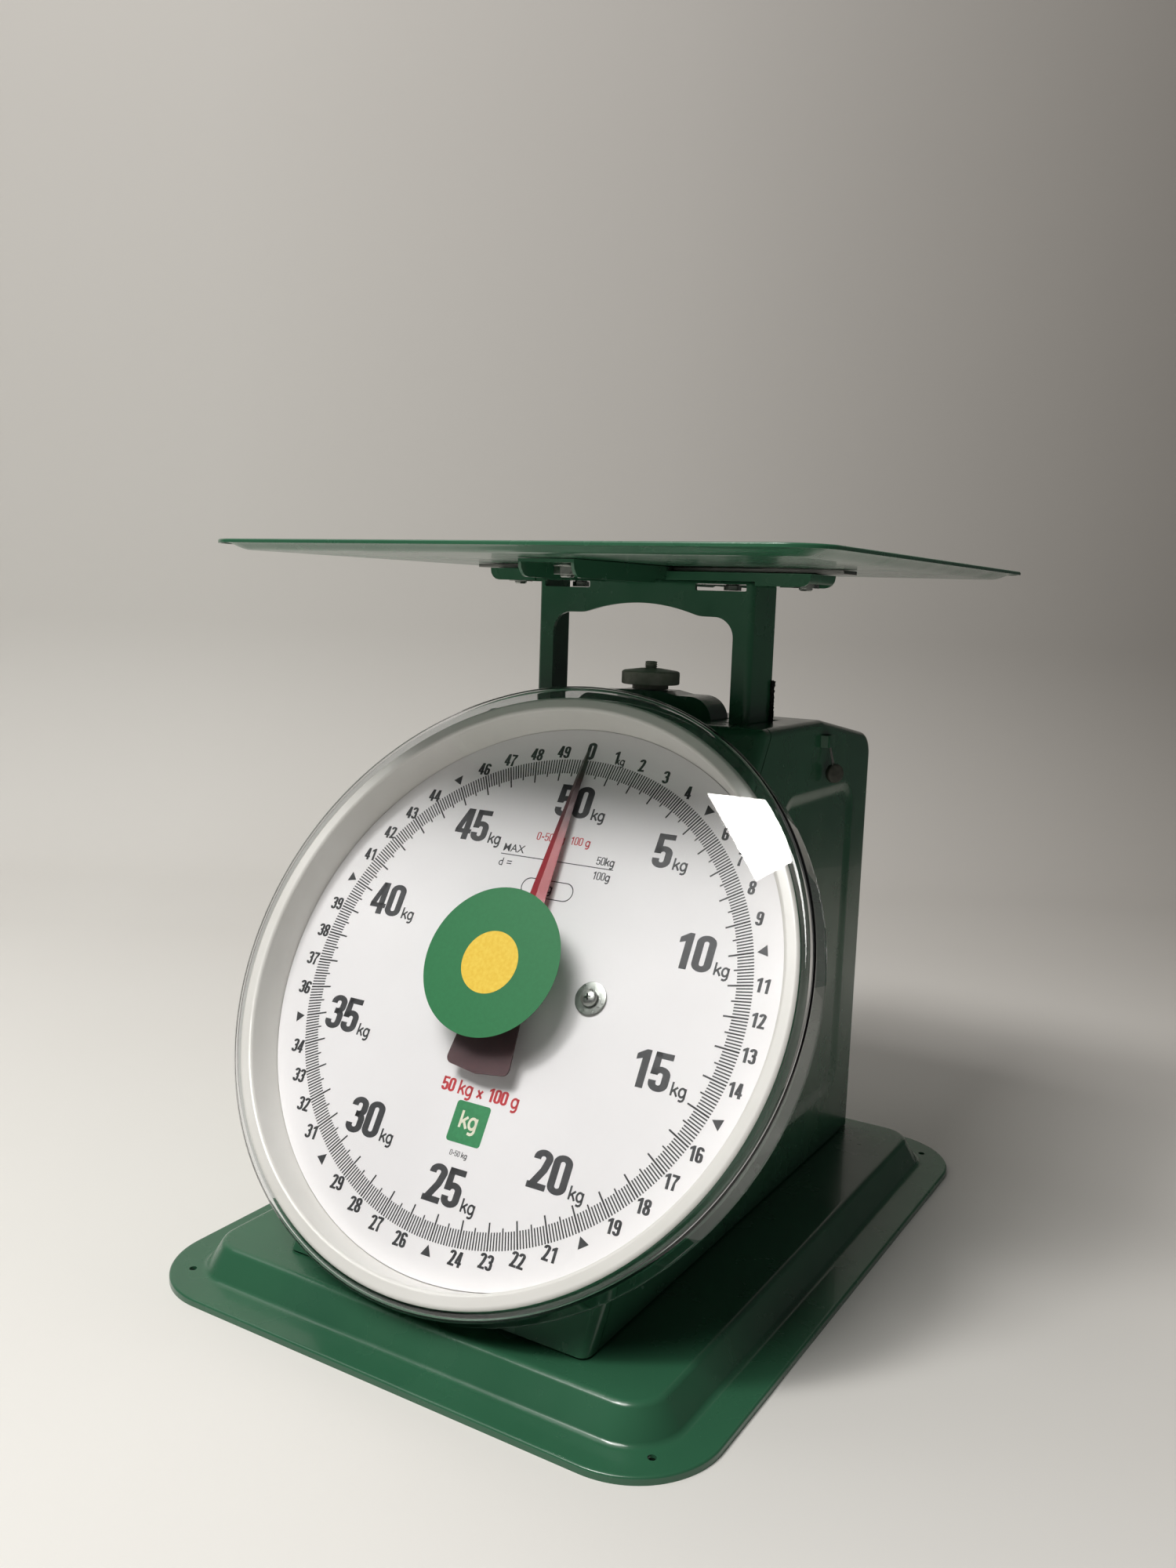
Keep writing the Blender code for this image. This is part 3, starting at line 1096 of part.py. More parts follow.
def build_cross():
    x_low = CROSS_X_TOP - CROSS_X_HEIGHT
    y_low = CROSS_Y_TOP - CROSS_Y_HEIGHT
    bm = bmesh.new()
    round_ended_box(bm, (-CROSS_X_HALF_LENGTH, -CROSS_X_HALF_WIDTH, x_low),
                    (CROSS_X_HALF_LENGTH, CROSS_X_HALF_WIDTH, CROSS_X_TOP), 0, CROSS_X_END_RADIUS)
    cross = add("pan_cross", to_mesh(bm, "pan_cross"), GREEN, PLATFORM)
    bm = bmesh.new()
    round_ended_box(bm, (-CROSS_Y_HALF_WIDTH, -CROSS_Y_HALF_LENGTH, y_low),
                    (CROSS_Y_HALF_WIDTH, CROSS_Y_HALF_LENGTH, CROSS_Y_TOP), 1, CROSS_Y_END_RADIUS)
    boolean(cross, cutter("cross_y", to_mesh(bm, "cross_y"), PLATFORM), "UNION")
    sheet = CROSS_SHEET
    under = x_low - 0.01
    long = CROSS_X_HALF_LENGTH - sheet
    wide = CROSS_X_HALF_WIDTH - sheet
    inner_x = boxes("cross_x_inside", ((-long, -wide, under), (long, wide, CROSS_X_TOP - sheet)))
    boolean(cross, cutter("cross_x_inside", inner_x, PLATFORM))
    long = CROSS_Y_HALF_LENGTH + 0.01
    wide = CROSS_Y_HALF_WIDTH - sheet
    inner_y = boxes("cross_y_inside", ((-wide, -long, under - 0.001), (wide, long, CROSS_Y_TOP - sheet)))
    boolean(cross, cutter("cross_y_inside", inner_y, PLATFORM))
    notch = YOKE_WIDTH / 2 + CROSS_NOTCH_GAP
    deep = CROSS_X_HALF_WIDTH + 0.01
    over = boxes("cross_notch", ((-notch, -deep, under), (notch, deep, YOKE_TOP - CROSS_NOTCH_OVERLAP)))
    boolean(cross, cutter("cross_notch", over, PLATFORM))
    bore = PAN_STUD_DIAMETER / 2 + HOLE_CLEARANCE
    spans = [((sign * PAN_STUD_X, 0.0, x_low - 0.02), 0.06, bore) for sign in (-1, 1)]
    spans += [((0.0, sign * PAN_STUD_Y, x_low - 0.02), 0.06, bore) for sign in (-1, 1)]
    spans += [((sign * YOKE_BOLT_X, 0.0, x_low - 0.02), 0.06, bore) for sign in (-1, 1)]
    boolean(cross, cutter("cross_holes", rods("cross_holes", spans, segments=12), PLATFORM))
    web_under = CROSS_X_TOP - sheet
    for side, sign in (("left", -1), ("right", 1)):
        span = sorted((sign * (CROSS_Y_HALF_WIDTH + CLEARANCE), sign * STRIP_HALF_LENGTH))
        strip = add("pan_strip_" + side,
                    boxes("pan_strip_" + side, ((span[0], -STRIP_WIDTH / 2, STRIP_BOTTOM),
                                                (span[1], STRIP_WIDTH / 2, PAN_UNDER - CLEARANCE))),
                    STEEL, PLATFORM)
        span = ((sign * PAN_STUD_X, 0.0, STRIP_BOTTOM - 0.01), 0.02, bore)
        hole = rods("strip_hole_" + side, [span], segments=12)
        boolean(strip, cutter("strip_hole_" + side, hole, PLATFORM))
        high = web_under - CLEARANCE
        low = YOKE_TOP + CLEARANCE
        ring = [(bore, high), (SPACER_RADIUS, high), (SPACER_RADIUS, low), (bore, low)]
        turned("yoke_spacer_" + side, ring, ZINC, PLATFORM, 12, True, (sign * YOKE_BOLT_X, 0.0, 0.0))
        head_top = YOKE_TOP - YOKE_SHEET - CLEARANCE
        head = arc((0.0, 0.0), BOLT_FLATS / math.sqrt(3.0), 30.0, 330.0, 5)
        bolt = add("yoke_bolt_" + side, prism("yoke_bolt_" + side, head, BOLT_HEAD), ZINC, PLATFORM)
        bolt.location = (sign * YOKE_BOLT_X, 0.0, head_top - BOLT_HEAD / 2)
        length = CROSS_X_TOP - head_top
        span = ((0.0, 0.0, 0.0), length + BOLT_HEAD / 2, STUD_DIAMETER / 2)
        shank = rods("yoke_bolt_shank_" + side, [span], segments=16)
        boolean(bolt, cutter("yoke_bolt_shank_" + side, shank, bolt), "UNION")


def build_pan():
    half = PAN_SIZE / 2
    offset = PAN_Y - LOAD_Y
    low = (-half, offset - half, PAN_TOP - PAN_LIP)
    bm = rounded_box_shell(low, (half, offset + half, PAN_TOP), PAN_CORNER_RADIUS, 5)
    bmesh.ops.bevel(bm, geom=loop_edges(bm, PAN_TOP), offset=PAN_EDGE_RADIUS, segments=3, profile=0.5,
                    affect="EDGES")
    runs = [(PAN_RIM, 0.0)]
    for i in range(PAN_SLOPE_STEPS):
        last = math.pi * i / PAN_SLOPE_STEPS
        turn = math.pi * (i + 1) / PAN_SLOPE_STEPS
        drop = PAN_DISH * (math.cos(last) - math.cos(turn)) / 2
        runs.append((PAN_SLOPE_RUN / PAN_SLOPE_STEPS, drop))
    for run, drop in runs:
        dish = top_face(bm)
        bmesh.ops.inset_individual(bm, faces=[dish], thickness=run, use_even_offset=True)
        bmesh.ops.translate(bm, verts=dish.verts, vec=(0.0, 0.0, -drop))
        bm.normal_update()
    pan = add("pan", to_mesh(bm, "pan"), GREEN, PLATFORM)
    thicken(pan, PAN_SHEET)
    shank = PAN_STUD_DIAMETER / 2
    bore = shank + HOLE_CLEARANCE
    places = (("left", -PAN_STUD_X, 0.0, CROSS_X_TOP), ("right", PAN_STUD_X, 0.0, CROSS_X_TOP),
              ("front", 0.0, -PAN_STUD_Y, CROSS_Y_TOP), ("rear", 0.0, PAN_STUD_Y, CROSS_Y_TOP))
    for side, x, y, web_top in places:
        web = web_top - CROSS_SHEET
        top = PAN_UNDER - CLEARANCE
        low = web - NUT_HEIGHT - WASHER_THICKNESS - CLEARANCE - PAN_STUD_END
        profile = [(0.0, top), (shank, top), (shank, low + 0.0006), (shank - 0.0006, low), (0.0, low)]
        turned("pan_stud_" + side, profile, ZINC, PLATFORM, 12, False, (x, y, 0.0))
        middle = web - CLEARANCE - WASHER_THICKNESS - NUT_HEIGHT / 2
        hex_nut("pan_nut_" + side, ZINC, PLATFORM, bore, NUT_FLATS, NUT_HEIGHT, (x, y, middle),
                washer=WASHER_DIAMETER)


build_base()
build_case()
build_panel()
build_dial()
build_pointer()
build_movement()
build_frame()
build_pillar()
build_levers()
build_yoke()
build_springs()
build_zero()
build_rack_arm()
build_cross()
build_pan()
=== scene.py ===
"""Looks of the mechanical dial platform scale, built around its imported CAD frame."""
import json
import math

import bmesh
import bpy
from mathutils import Matrix, Quaternion, Vector

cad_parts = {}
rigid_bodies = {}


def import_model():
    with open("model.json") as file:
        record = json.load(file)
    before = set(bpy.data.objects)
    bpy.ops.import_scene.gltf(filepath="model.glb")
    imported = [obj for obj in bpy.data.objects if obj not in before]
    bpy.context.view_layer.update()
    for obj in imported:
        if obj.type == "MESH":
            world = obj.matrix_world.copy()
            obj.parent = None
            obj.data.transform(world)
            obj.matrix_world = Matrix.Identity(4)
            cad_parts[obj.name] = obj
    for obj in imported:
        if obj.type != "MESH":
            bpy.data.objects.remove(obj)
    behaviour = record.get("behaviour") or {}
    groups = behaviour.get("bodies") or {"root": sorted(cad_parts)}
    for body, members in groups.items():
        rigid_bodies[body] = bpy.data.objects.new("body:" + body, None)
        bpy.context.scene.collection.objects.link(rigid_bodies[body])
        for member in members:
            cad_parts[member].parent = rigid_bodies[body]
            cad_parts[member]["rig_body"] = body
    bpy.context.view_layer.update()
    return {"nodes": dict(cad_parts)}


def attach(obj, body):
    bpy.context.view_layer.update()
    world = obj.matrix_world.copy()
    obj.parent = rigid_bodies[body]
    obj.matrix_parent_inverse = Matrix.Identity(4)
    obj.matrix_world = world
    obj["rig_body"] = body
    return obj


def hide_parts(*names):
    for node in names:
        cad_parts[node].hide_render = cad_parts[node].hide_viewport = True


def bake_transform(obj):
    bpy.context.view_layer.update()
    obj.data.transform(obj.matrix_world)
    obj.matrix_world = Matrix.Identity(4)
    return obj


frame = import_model()
MM = 0.001
ORIGIN = (0.0, 0.0, 0.0)

# Sizes shared with the CAD source, in metres
DIAL_LEAN = math.radians(31.0)
DIAL_CENTRE = Vector((0.0, -0.0762, 0.1284))
SCALE_RADIUS = 0.104
PANEL_SETBACK = 0.010
SEAM_DEPTH = 0.0068
SEAM_GAP = 0.0007
BASE_TOP = 0.015
CASE_BOTTOM = 0.0159
CASE_TOP = 0.2355
CASE_REAR = 0.1365
CASE_HALF = 0.073
LOAD_Y = 0.031
YOKE_HALF = 0.056
YOKE_TOP = 0.2985
FRAME_TOP = 0.247
PAN_TOP = 0.308
DIAL_SCREW_X = 0.0368
DIAL_SCREW_RISE = 0.0015
DIAL_UP = Vector((0.0, math.sin(DIAL_LEAN), math.cos(DIAL_LEAN)))
DIAL_OUT = Vector((0.0, -math.cos(DIAL_LEAN), math.sin(DIAL_LEAN)))
SIDES = (("left", -1), ("right", 1))

# How near points are merged, how far ink stands off the sheet, and a digit's width to its height
MERGE = 0.000002
INK_LIFT = 0.00004
DIGIT_WIDTH = 0.52


# Small helpers for colours, nodes and hand modelling
def linear(colour):
    """An sRGB hex colour as linear red, green, blue and alpha."""
    values = []
    for place in (1, 3, 5):
        share = int(colour[place:place + 2], 16) / 255
        values.append(share / 12.92 if share <= 0.04045 else ((share + 0.055) / 1.055) ** 2.4)
    return (*values, 1.0)


def add_node(tree, kind, inputs=None, stops=None, **settings):
    """One node with its settings; an input is a value or the socket that feeds it."""
    made = tree.nodes.new(kind)
    for name, value in settings.items():
        setattr(made, name, value)
    for name, value in (inputs or {}).items():
        socket = made.inputs[name]
        if isinstance(value, bpy.types.NodeSocket):
            tree.links.new(value, socket)
        else:
            socket.default_value = value
    if stops:
        ramp = made.color_ramp.elements
        while len(ramp) < len(stops):
            ramp.new(0.5)
        for element, (position, colour) in zip(ramp, stops):
            element.position = position
            element.color = linear(colour)
    return made


def new_material(name, **values):
    """A material with its shader's plain values set, its node tree and its object coordinates."""
    made = bpy.data.materials.new(name)
    made.use_nodes = True
    tree = made.node_tree
    shader = tree.nodes["Principled BSDF"]
    for socket, value in values.items():
        shader.inputs[socket.replace("_", " ")].default_value = value
    place = add_node(tree, "ShaderNodeTexCoord").outputs["Object"]
    return made, tree, shader, place


def noise(tree, place, size, detail):
    """Noise whose spots measure a size in millimetres."""
    inputs = {"Vector": place, "Scale": 1 / (size * MM), "Detail": detail}
    return add_node(tree, "ShaderNodeTexNoise", inputs).outputs["Fac"]


def tones(tree, factor, *stops):
    """Colours looked up by a factor."""
    return add_node(tree, "ShaderNodeValToRGB", {"Fac": factor}, stops=stops).outputs["Color"]


def spread(tree, value, **limits):
    """A value mapped between ranges, given as from_min, from_max, to_min and to_max."""
    inputs = {name.replace("_", " ").title(): limit for name, limit in limits.items()}
    return add_node(tree, "ShaderNodeMapRange", {"Value": value, **inputs}).outputs["Result"]


def feed(tree, shader, **sockets):
    """Links sockets to the shader's inputs of the same names."""
    for name, socket in sockets.items():
        tree.links.new(socket, shader.inputs[name.replace("_", " ")])


def dent(tree, shader, height, strength, distance):
    """A bump that bends the shader's normal."""
    bump = add_node(tree, "ShaderNodeBump", {"Height": height, "Strength": strength, "Distance": distance})
    feed(tree, shader, Normal=bump.outputs["Normal"])


def mottled(name, size, detail, *stops, peel=None, gloss=None, **values):
    """A material whose colour drifts over spots of a size.

    Peel is a bump's own size, detail, strength and depth; gloss is the range of roughness over the spots.
    """
    made, tree, shader, place = new_material(name, **values)
    spots = noise(tree, place, size, detail)
    feed(tree, shader, Base_Color=tones(tree, spots, *stops))
    if peel:
        dent(tree, shader, noise(tree, place, *peel[:2]), *peel[2:])
    if gloss:
        feed(tree, shader, Roughness=spread(tree, spots, to_min=gloss[0], to_max=gloss[1]))
    return made


def edit():
    """Goes into edit mode."""
    bpy.ops.object.mode_set(mode="EDIT")


def leave():
    """Goes back to object mode."""
    bpy.ops.object.mode_set(mode="OBJECT")


def settle():
    """Applies the place, turn and scale of what is selected."""
    bpy.ops.object.transform_apply()


def select_all():
    """In edit mode, selects the whole mesh."""
    bpy.ops.mesh.select_all(action="SELECT")


def pull(x, y, z):
    """In edit mode, extrudes what is selected."""
    bpy.ops.mesh.extrude_region_move(TRANSFORM_OT_translate={"value": (x, y, z)})


def round_edges(width, segments):
    """In edit mode, rounds the selected edges."""
    bpy.ops.mesh.bevel(offset=width, segments=segments, affect="EDGES")


def start():
    """Leaves edit mode and deselects everything."""
    if bpy.context.object and bpy.context.object.mode != "OBJECT":
        leave()
    bpy.ops.object.select_all(action="DESELECT")


def take(piece):
    """Makes one object the selected and active one."""
    start()
    piece.select_set(True)
    bpy.context.view_layer.objects.active = piece


def put(piece, place=ORIGIN, turn=ORIGIN, scale=(1.0, 1.0, 1.0)):
    """Gives a shape made at the origin its place, turn and scale, and applies them."""
    take(piece)
    piece.location = place
    piece.rotation_euler = turn
    piece.scale = scale
    settle()


def rod(radius, length, place, turn=ORIGIN, sides=32):
    """A round bar about a middle point."""
    start()
    bpy.ops.mesh.primitive_cylinder_add(vertices=sides, radius=radius, depth=length, location=place,
                                        rotation=turn)
    return bpy.context.object


def block(name, low, high):
    """A box between two corners, left open in edit mode."""
    start()
    middle = [(a + b) / 2 for a, b in zip(low, high)]
    size = [b - a for a, b in zip(low, high)]
    bpy.ops.mesh.primitive_cube_add(size=1.0, location=middle, scale=size)
    piece = bpy.context.object
    piece.name = name
    settle()
    edit()
    return piece


def trace(name, points, fill=False):
    """A vertex extruded from point to point, closed and filled if asked, left in edit mode."""
    start()
    bpy.ops.mesh.primitive_plane_add(size=0.01, location=ORIGIN)
    piece = bpy.context.object
    piece.name = name
    edit()
    bpy.ops.mesh.select_mode(type="VERT")
    bpy.ops.mesh.merge(type="CENTER")
    bpy.ops.transform.translate(value=points[0])
    for before, after in zip(points, points[1:]):
        step = Vector(after) - Vector(before)
        bpy.ops.mesh.extrude_vertices_move(TRANSFORM_OT_translate={"value": step})
    select_all()
    if fill:
        bpy.ops.mesh.edge_face_add()
    return piece


def choose(kind, test):
    """In edit mode, selects only the verts, edges or faces that pass a test."""
    mesh = bpy.context.object.data
    bpy.ops.mesh.select_mode(type={"verts": "VERT", "edges": "EDGE", "faces": "FACE"}[kind])
    bpy.ops.mesh.select_all(action="DESELECT")
    shape = bmesh.from_edit_mesh(mesh)
    shape.normal_update()
    for item in getattr(shape, kind):
        if test(item):
            item.select_set(True)
    shape.select_flush_mode()
    bmesh.update_edit_mesh(mesh)


def drop_faces(test):
    """In edit mode, deletes the faces that pass a test."""
    choose("faces", test)
    bpy.ops.mesh.delete(type="FACE")


def span(edge, axis):
    """How far an edge reaches along X, Y or Z, given as 0, 1 or 2."""
    return abs(edge.verts[0].co[axis] - edge.verts[1].co[axis])


def look_along(piece, direction):
    """In edit mode, turns an open sheet's faces to look along a direction."""
    shape = bmesh.from_edit_mesh(piece.data)
    shape.normal_update()
    if sum(face.normal.dot(direction) for face in shape.faces) < 0:
        bpy.ops.mesh.flip_normals()


def close_up():
    """Merges doubles and turns all faces outwards."""
    select_all()
    bpy.ops.mesh.remove_doubles(threshold=MERGE)
    bpy.ops.mesh.normals_make_consistent(inside=False)


def mend(piece):
    """Merges doubles and turns the faces outwards on a whole mesh."""
    take(piece)
    edit()
    close_up()
    leave()


def step_in(piece, steps):
    """Insets the widest face again and again, each time by a run and a rise."""
    for run, rise in steps:
        leave()
        edit()
        shape = bmesh.from_edit_mesh(piece.data)
        widest = max(face.calc_area() for face in shape.faces)
        choose("faces", lambda face: face.calc_area() > widest * 0.999)
        bpy.ops.mesh.inset(thickness=run, depth=rise, use_even_offset=True)
    leave()


def thicken(piece, thickness, offset=-1.0):
    """Gives a skin a thickness, inwards unless the offset says otherwise."""
    modify(piece, "SOLIDIFY", thickness=thickness, offset=offset, use_even_offset=True)


def press(name, low, high, corner, lip, steps):
    """A sheet between two corners, pressed in steps; corner and lip are a radius and its segments."""
    piece = block(name, low, high)
    choose("edges", lambda edge: span(edge, 2) > 0.001)
    round_edges(*corner)
    drop_faces(lambda face: face.normal.z < -0.9)
    choose("edges", lambda edge: min(vert.co.z for vert in edge.verts) > high[2] - 0.0001)
    round_edges(*lip)
    step_in(piece, steps)
    thicken(piece, 0.0012)
    return piece


def lathe(name, profile, steps):
    """A profile of radius and height pairs spun once round Z."""
    piece = trace(name, [(radius, 0.0, height) for radius, height in profile])
    bpy.ops.mesh.spin(steps=steps, angle=2 * math.pi, center=ORIGIN, axis=(0.0, 0.0, 1.0))
    close_up()
    leave()
    return piece


def modify(piece, kind, **settings):
    """Adds a modifier with its settings and applies it."""
    take(piece)
    modifier = piece.modifiers.new(kind.lower(), kind)
    for name, value in settings.items():
        setattr(modifier, name, value)
    bpy.ops.object.modifier_apply(modifier=modifier.name)


def cut(piece, tool, operation="DIFFERENCE"):
    """Cuts a tool out of a piece, or joins it on, and deletes the tool."""
    modify(piece, "BOOLEAN", object=tool, operation=operation, solver="EXACT")
    bpy.data.objects.remove(tool)


def together(name, pieces):
    """Joins pieces into the first one."""
    start()
    for piece in pieces:
        piece.select_set(True)
    bpy.context.view_layer.objects.active = pieces[0]
    bpy.ops.object.join()
    pieces[0].name = name
    pieces[0].data.name = name
    return pieces[0]


def smooth(piece, angle=38.0):
    """Smooth shading that keeps flats flat and corners sharp."""
    take(piece)
    bpy.ops.object.shade_smooth_by_angle(angle=math.radians(angle))
    modify(piece, "WEIGHTED_NORMAL", weight=60, keep_sharp=True)


def soften(piece, width, segments, angle):
    """A small round on every edge sharper than the angle."""
    modify(piece, "BEVEL", width=width, segments=segments, limit_method="ANGLE",
           angle_limit=math.radians(angle), miter_outer="MITER_ARC", use_clamp_overlap=True)


def stand(piece, depth):
    """Stands a flat shape up and moves it back to a depth."""
    put(piece, turn=(math.pi / 2, 0.0, 0.0))
    put(piece, (0.0, depth, 0.0))


def onto_dial(piece, x=0.0, v=0.0, w=0.0):
    """Puts a piece made flat about the origin onto the leaning dial face."""
    place = DIAL_CENTRE + Vector((x, 0.0, 0.0)) + DIAL_UP * v + DIAL_OUT * w
    put(piece, place, (math.pi / 2 - DIAL_LEAN, 0.0, 0.0))


def dress(piece, body, slot, *nodes, looks=()):
    """Gives a piece its body and its materials, the slot's finish unless looks are given, and hides the CAD
    nodes that it stands for.
    """
    start()
    piece.data.materials.clear()
    for look in looks or (FINISHES[slot],):
        piece.data.materials.append(look)
    piece.data.name = piece.name
    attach(piece, body)
    if nodes:
        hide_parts(*nodes)


def rounded(corners, radii, steps, closed=True):
    """A polyline with its corners replaced by arcs; a radius of 0 keeps a corner."""
    points = []
    count = len(corners)
    for i, corner in enumerate(corners):
        here = Vector(corner)
        radius = radii[i] if isinstance(radii, (list, tuple)) else radii
        if radius == 0 or (not closed and i in (0, count - 1)):
            points.append(tuple(here))
            continue
        back = (Vector(corners[i - 1]) - here).normalized()
        ahead = (Vector(corners[(i + 1) % count]) - here).normalized()
        half = back.angle(ahead) / 2
        centre = here + (back + ahead).normalized() * (radius / math.sin(half))
        first = here + back * (radius / math.tan(half)) - centre
        last = here + ahead * (radius / math.tan(half)) - centre
        turn = first.angle(last)
        for step in range(steps + 1):
            share = step / steps
            arm = first * (math.sin((1 - share) * turn) / math.sin(turn))
            arm = arm + last * (math.sin(share * turn) / math.sin(turn))
            points.append(tuple(centre + arm))
    return points


def bar_corners(left, low, right, high):
    """Corners of a rectangle between two of its corners."""
    return [(left, low), (right, low), (right, high), (left, high)]


def ring_points(radius, count, centre=(0.0, 0.0)):
    """Points round a circle."""
    points = []
    for i in range(count):
        angle = 2 * math.pi * i / count
        points.append((centre[0] + radius * math.cos(angle), centre[1] + radius * math.sin(angle)))
    return points


def drawn(name, runs, closed, **settings):
    """A curve with its settings through runs of points, made a mesh."""
    start()
    curve = bpy.data.curves.new(name, "CURVE")
    for setting, value in settings.items():
        setattr(curve, setting, value)
    for run in runs:
        spline = curve.splines.new("POLY")
        spline.points.add(len(run) - 1)
        for point, place in zip(spline.points, run):
            point.co = (*place, 1.0)
        spline.use_cyclic_u = closed
    piece = bpy.data.objects.new(name, curve)
    bpy.context.scene.collection.objects.link(piece)
    take(piece)
    bpy.ops.object.convert(target="MESH")
    return bpy.context.object


def flat_shape(name, *outlines, height=0.0):
    """Closed outlines in XY filled as one flat sheet, inner ones left as holes."""
    runs = [[(x, y, 0.0) for x, y in outline] for outline in outlines]
    piece = drawn(name, runs, True, dimensions="2D", fill_mode="BOTH", extrude=height / 2)
    edit()
    select_all()
    bpy.ops.mesh.remove_doubles(threshold=MERGE / 2)
    if height:
        bpy.ops.mesh.normals_make_consistent(inside=False)
    leave()
    return piece


def copy_of(piece, name):
    """A copy with its own mesh."""
    twin = piece.copy()
    twin.data = piece.data.copy()
    twin.name = name
    bpy.context.scene.collection.objects.link(twin)
    return twin


# Stove enamel sprayed on pressed steel: deep gloss with a faint orange peel and soft clouding
GREEN_ENAMEL, tree, shader, place = new_material("green_stove_enamel", Roughness=0.24, Coat_Weight=0.22,
                                                 Coat_Roughness=0.04)
tone = tones(tree, noise(tree, place, 70, 3.0), (0.3, "#2D5B43"), (0.5, "#306046"), (0.72, "#33654A"))
dust = noise(tree, place, 1.6, 1.0)
speck = spread(tree, dust, from_min=0.7, from_max=0.78, to_min=0.0, to_max=0.02)
colour = add_node(tree, "ShaderNodeMix", {0: speck, 6: tone, 7: linear("#6F8F7C")}, data_type="RGBA")
wipe = noise(tree, place, 22, 5.0)
gloss = spread(tree, wipe, from_min=0.3, from_max=0.7, to_min=0.19, to_max=0.31)
feed(tree, shader, Base_Color=colour.outputs[2], Roughness=gloss)
dent(tree, shader, noise(tree, place, 3.2, 2.0), 0.05, 0.0004)

# White stove enamel of the bowl: clean, half gloss, slightly warm
WHITE_ENAMEL = mottled("white_stove_enamel", 40, 4.0, (0.3, "#E2E0DA"), (0.7, "#EAE8E3"),
                       peel=(2.6, 2.0, 0.1, 0.0003), Roughness=0.32, Coat_Weight=0.2, Coat_Roughness=0.15)

# Printed dial sheet: lacquered aluminium, even white, dull satin with the faintest mottle
DIAL_SHEET = mottled("lacquered_dial_sheet", 55, 5.0, (0.3, "#EEECED"), (0.7, "#F3F1F2"),
                     peel=(6, 1.0, 0.008, 0.0001), Roughness=0.42)


# Screen printing ink: flat and dull, a little uneven in its cover
def ink(name, thin, full):
    return mottled(name, 1.5, 3.0, (0.35, full), (0.75, thin), Roughness=0.5)


BLACK_INK = ink("black_dial_ink", "#2C2D2F", "#1E1F21")
RED_INK = ink("red_dial_ink", "#C33A40", "#B5262E")
GREEN_INK = ink("green_dial_ink", "#2C8450", "#1F7645")
PALE_INK = ink("pale_dial_ink", "#F0EEDF", "#E6E2C8")

# Vinyl label stuck on the cover: smooth saturated print with a soft sheen
LABEL_GREEN = ink("green_label_vinyl", "#1E7443", "#1A6F3F")
LABEL_YELLOW = ink("yellow_label_vinyl", "#EBCB4B", "#E3BC35")

# Clear acrylic: moulded, colourless, glossy, with slight waves that bend the reflections
CLEAR_ACRYLIC = mottled("clear_acrylic", 90, 1.0, (0.3, "#F3F4F5"), (0.7, "#F7F8F9"),
                        peel=(90, 1.0, 0.08, 0.001), Roughness=0.015, IOR=1.49, Transmission_Weight=1.0)

# Red lacquer on the pointer blade, with painted shade that darkens it towards the tip
POINTER_RED_PAINTED_SHADE, tree, shader, place = new_material("red_pointer_lacquer_painted_shade", Roughness=0.3, Coat_Weight=0.2,
                                                Coat_Roughness=0.1)
# Painted shade: the red runs to near black with height, towards the blade's tip
height = add_node(tree, "ShaderNodeSeparateXYZ", {"Vector": place}).outputs["Z"]
rise = spread(tree, height, from_min=0.150, from_max=0.215)
feed(tree, shader, Base_Color=tones(tree, rise, (0.0, "#A41F2E"), (0.52, "#9C1E2C"), (0.7, "#551D25"),
                                    (1.0, "#2A191B")))

# Maroon lacquer on the pointer's balance tail: dark and dull
TAIL_MAROON = ink("maroon_tail_lacquer", "#3F1D21", "#35181B")

# Bright zinc plate on screws, nuts and washers: cool, softly mottled by the passivation
ZINC = mottled("bright_zinc_plate", 3, 4.0, (0.3, "#979B95"), (0.7, "#B4B7B2"), gloss=(0.2, 0.4),
               Metallic=1.0, Roughness=0.28)

# Drawn steel of rods, springs and strips: greyer, fine lengthwise streaks
STEEL, tree, shader, place = new_material("drawn_steel", Metallic=1.0, Roughness=0.38)
stretch = add_node(tree, "ShaderNodeMapping", {"Vector": place, "Scale": (60.0, 900.0, 900.0)})
streak = noise(tree, stretch.outputs["Vector"], 1000, 3.0)
feed(tree, shader, Base_Color=tones(tree, streak, (0.3, "#7E7E7B"), (0.7, "#9C9B97")),
     Roughness=spread(tree, streak, to_min=0.28, to_max=0.48))

# Turned brass of hub, pinion and rack: yellow, fine turning marks
BRASS = mottled("turned_brass", 0.9, 3.0, (0.3, "#A58444"), (0.7, "#BF9C58"), Metallic=1.0, Roughness=0.32)

# Olive grey chromate on the knob and its stud: barely metallic, dull in the knurl; its grey is painted light,
# lighter than the metal to stand in for fill light under the pan
CHROMATE_PAINTED_LIGHT = mottled("chromate_painted_light", 2.2, 5.0, (0.3, "#9C9E90"), (0.7, "#B2B2A8"),
                        peel=(2.2, 5.0, 0.15, 0.0002), Metallic=0.15, Roughness=0.45)

# Lead of the hung seal: dull, dark, a little bruised
LEAD = mottled("dull_lead", 2.5, 4.0, (0.3, "#45473F"), (0.7, "#5A5A52"), peel=(2.5, 4.0, 0.4, 0.0004),
               Metallic=0.3, Roughness=0.6)

# Black foam of the wipers round the yoke legs: open cells, no gloss
BLACK_FOAM, tree, shader, place = new_material("black_foam", Roughness=0.95)
cell = add_node(tree, "ShaderNodeTexVoronoi", {"Vector": place, "Scale": 1 / (0.9 * MM)}).outputs["Distance"]
feed(tree, shader, Base_Color=tones(tree, cell, (0.1, "#0E0F0E"), (0.8, "#262826")))
dent(tree, shader, cell, 0.6, 0.0006)

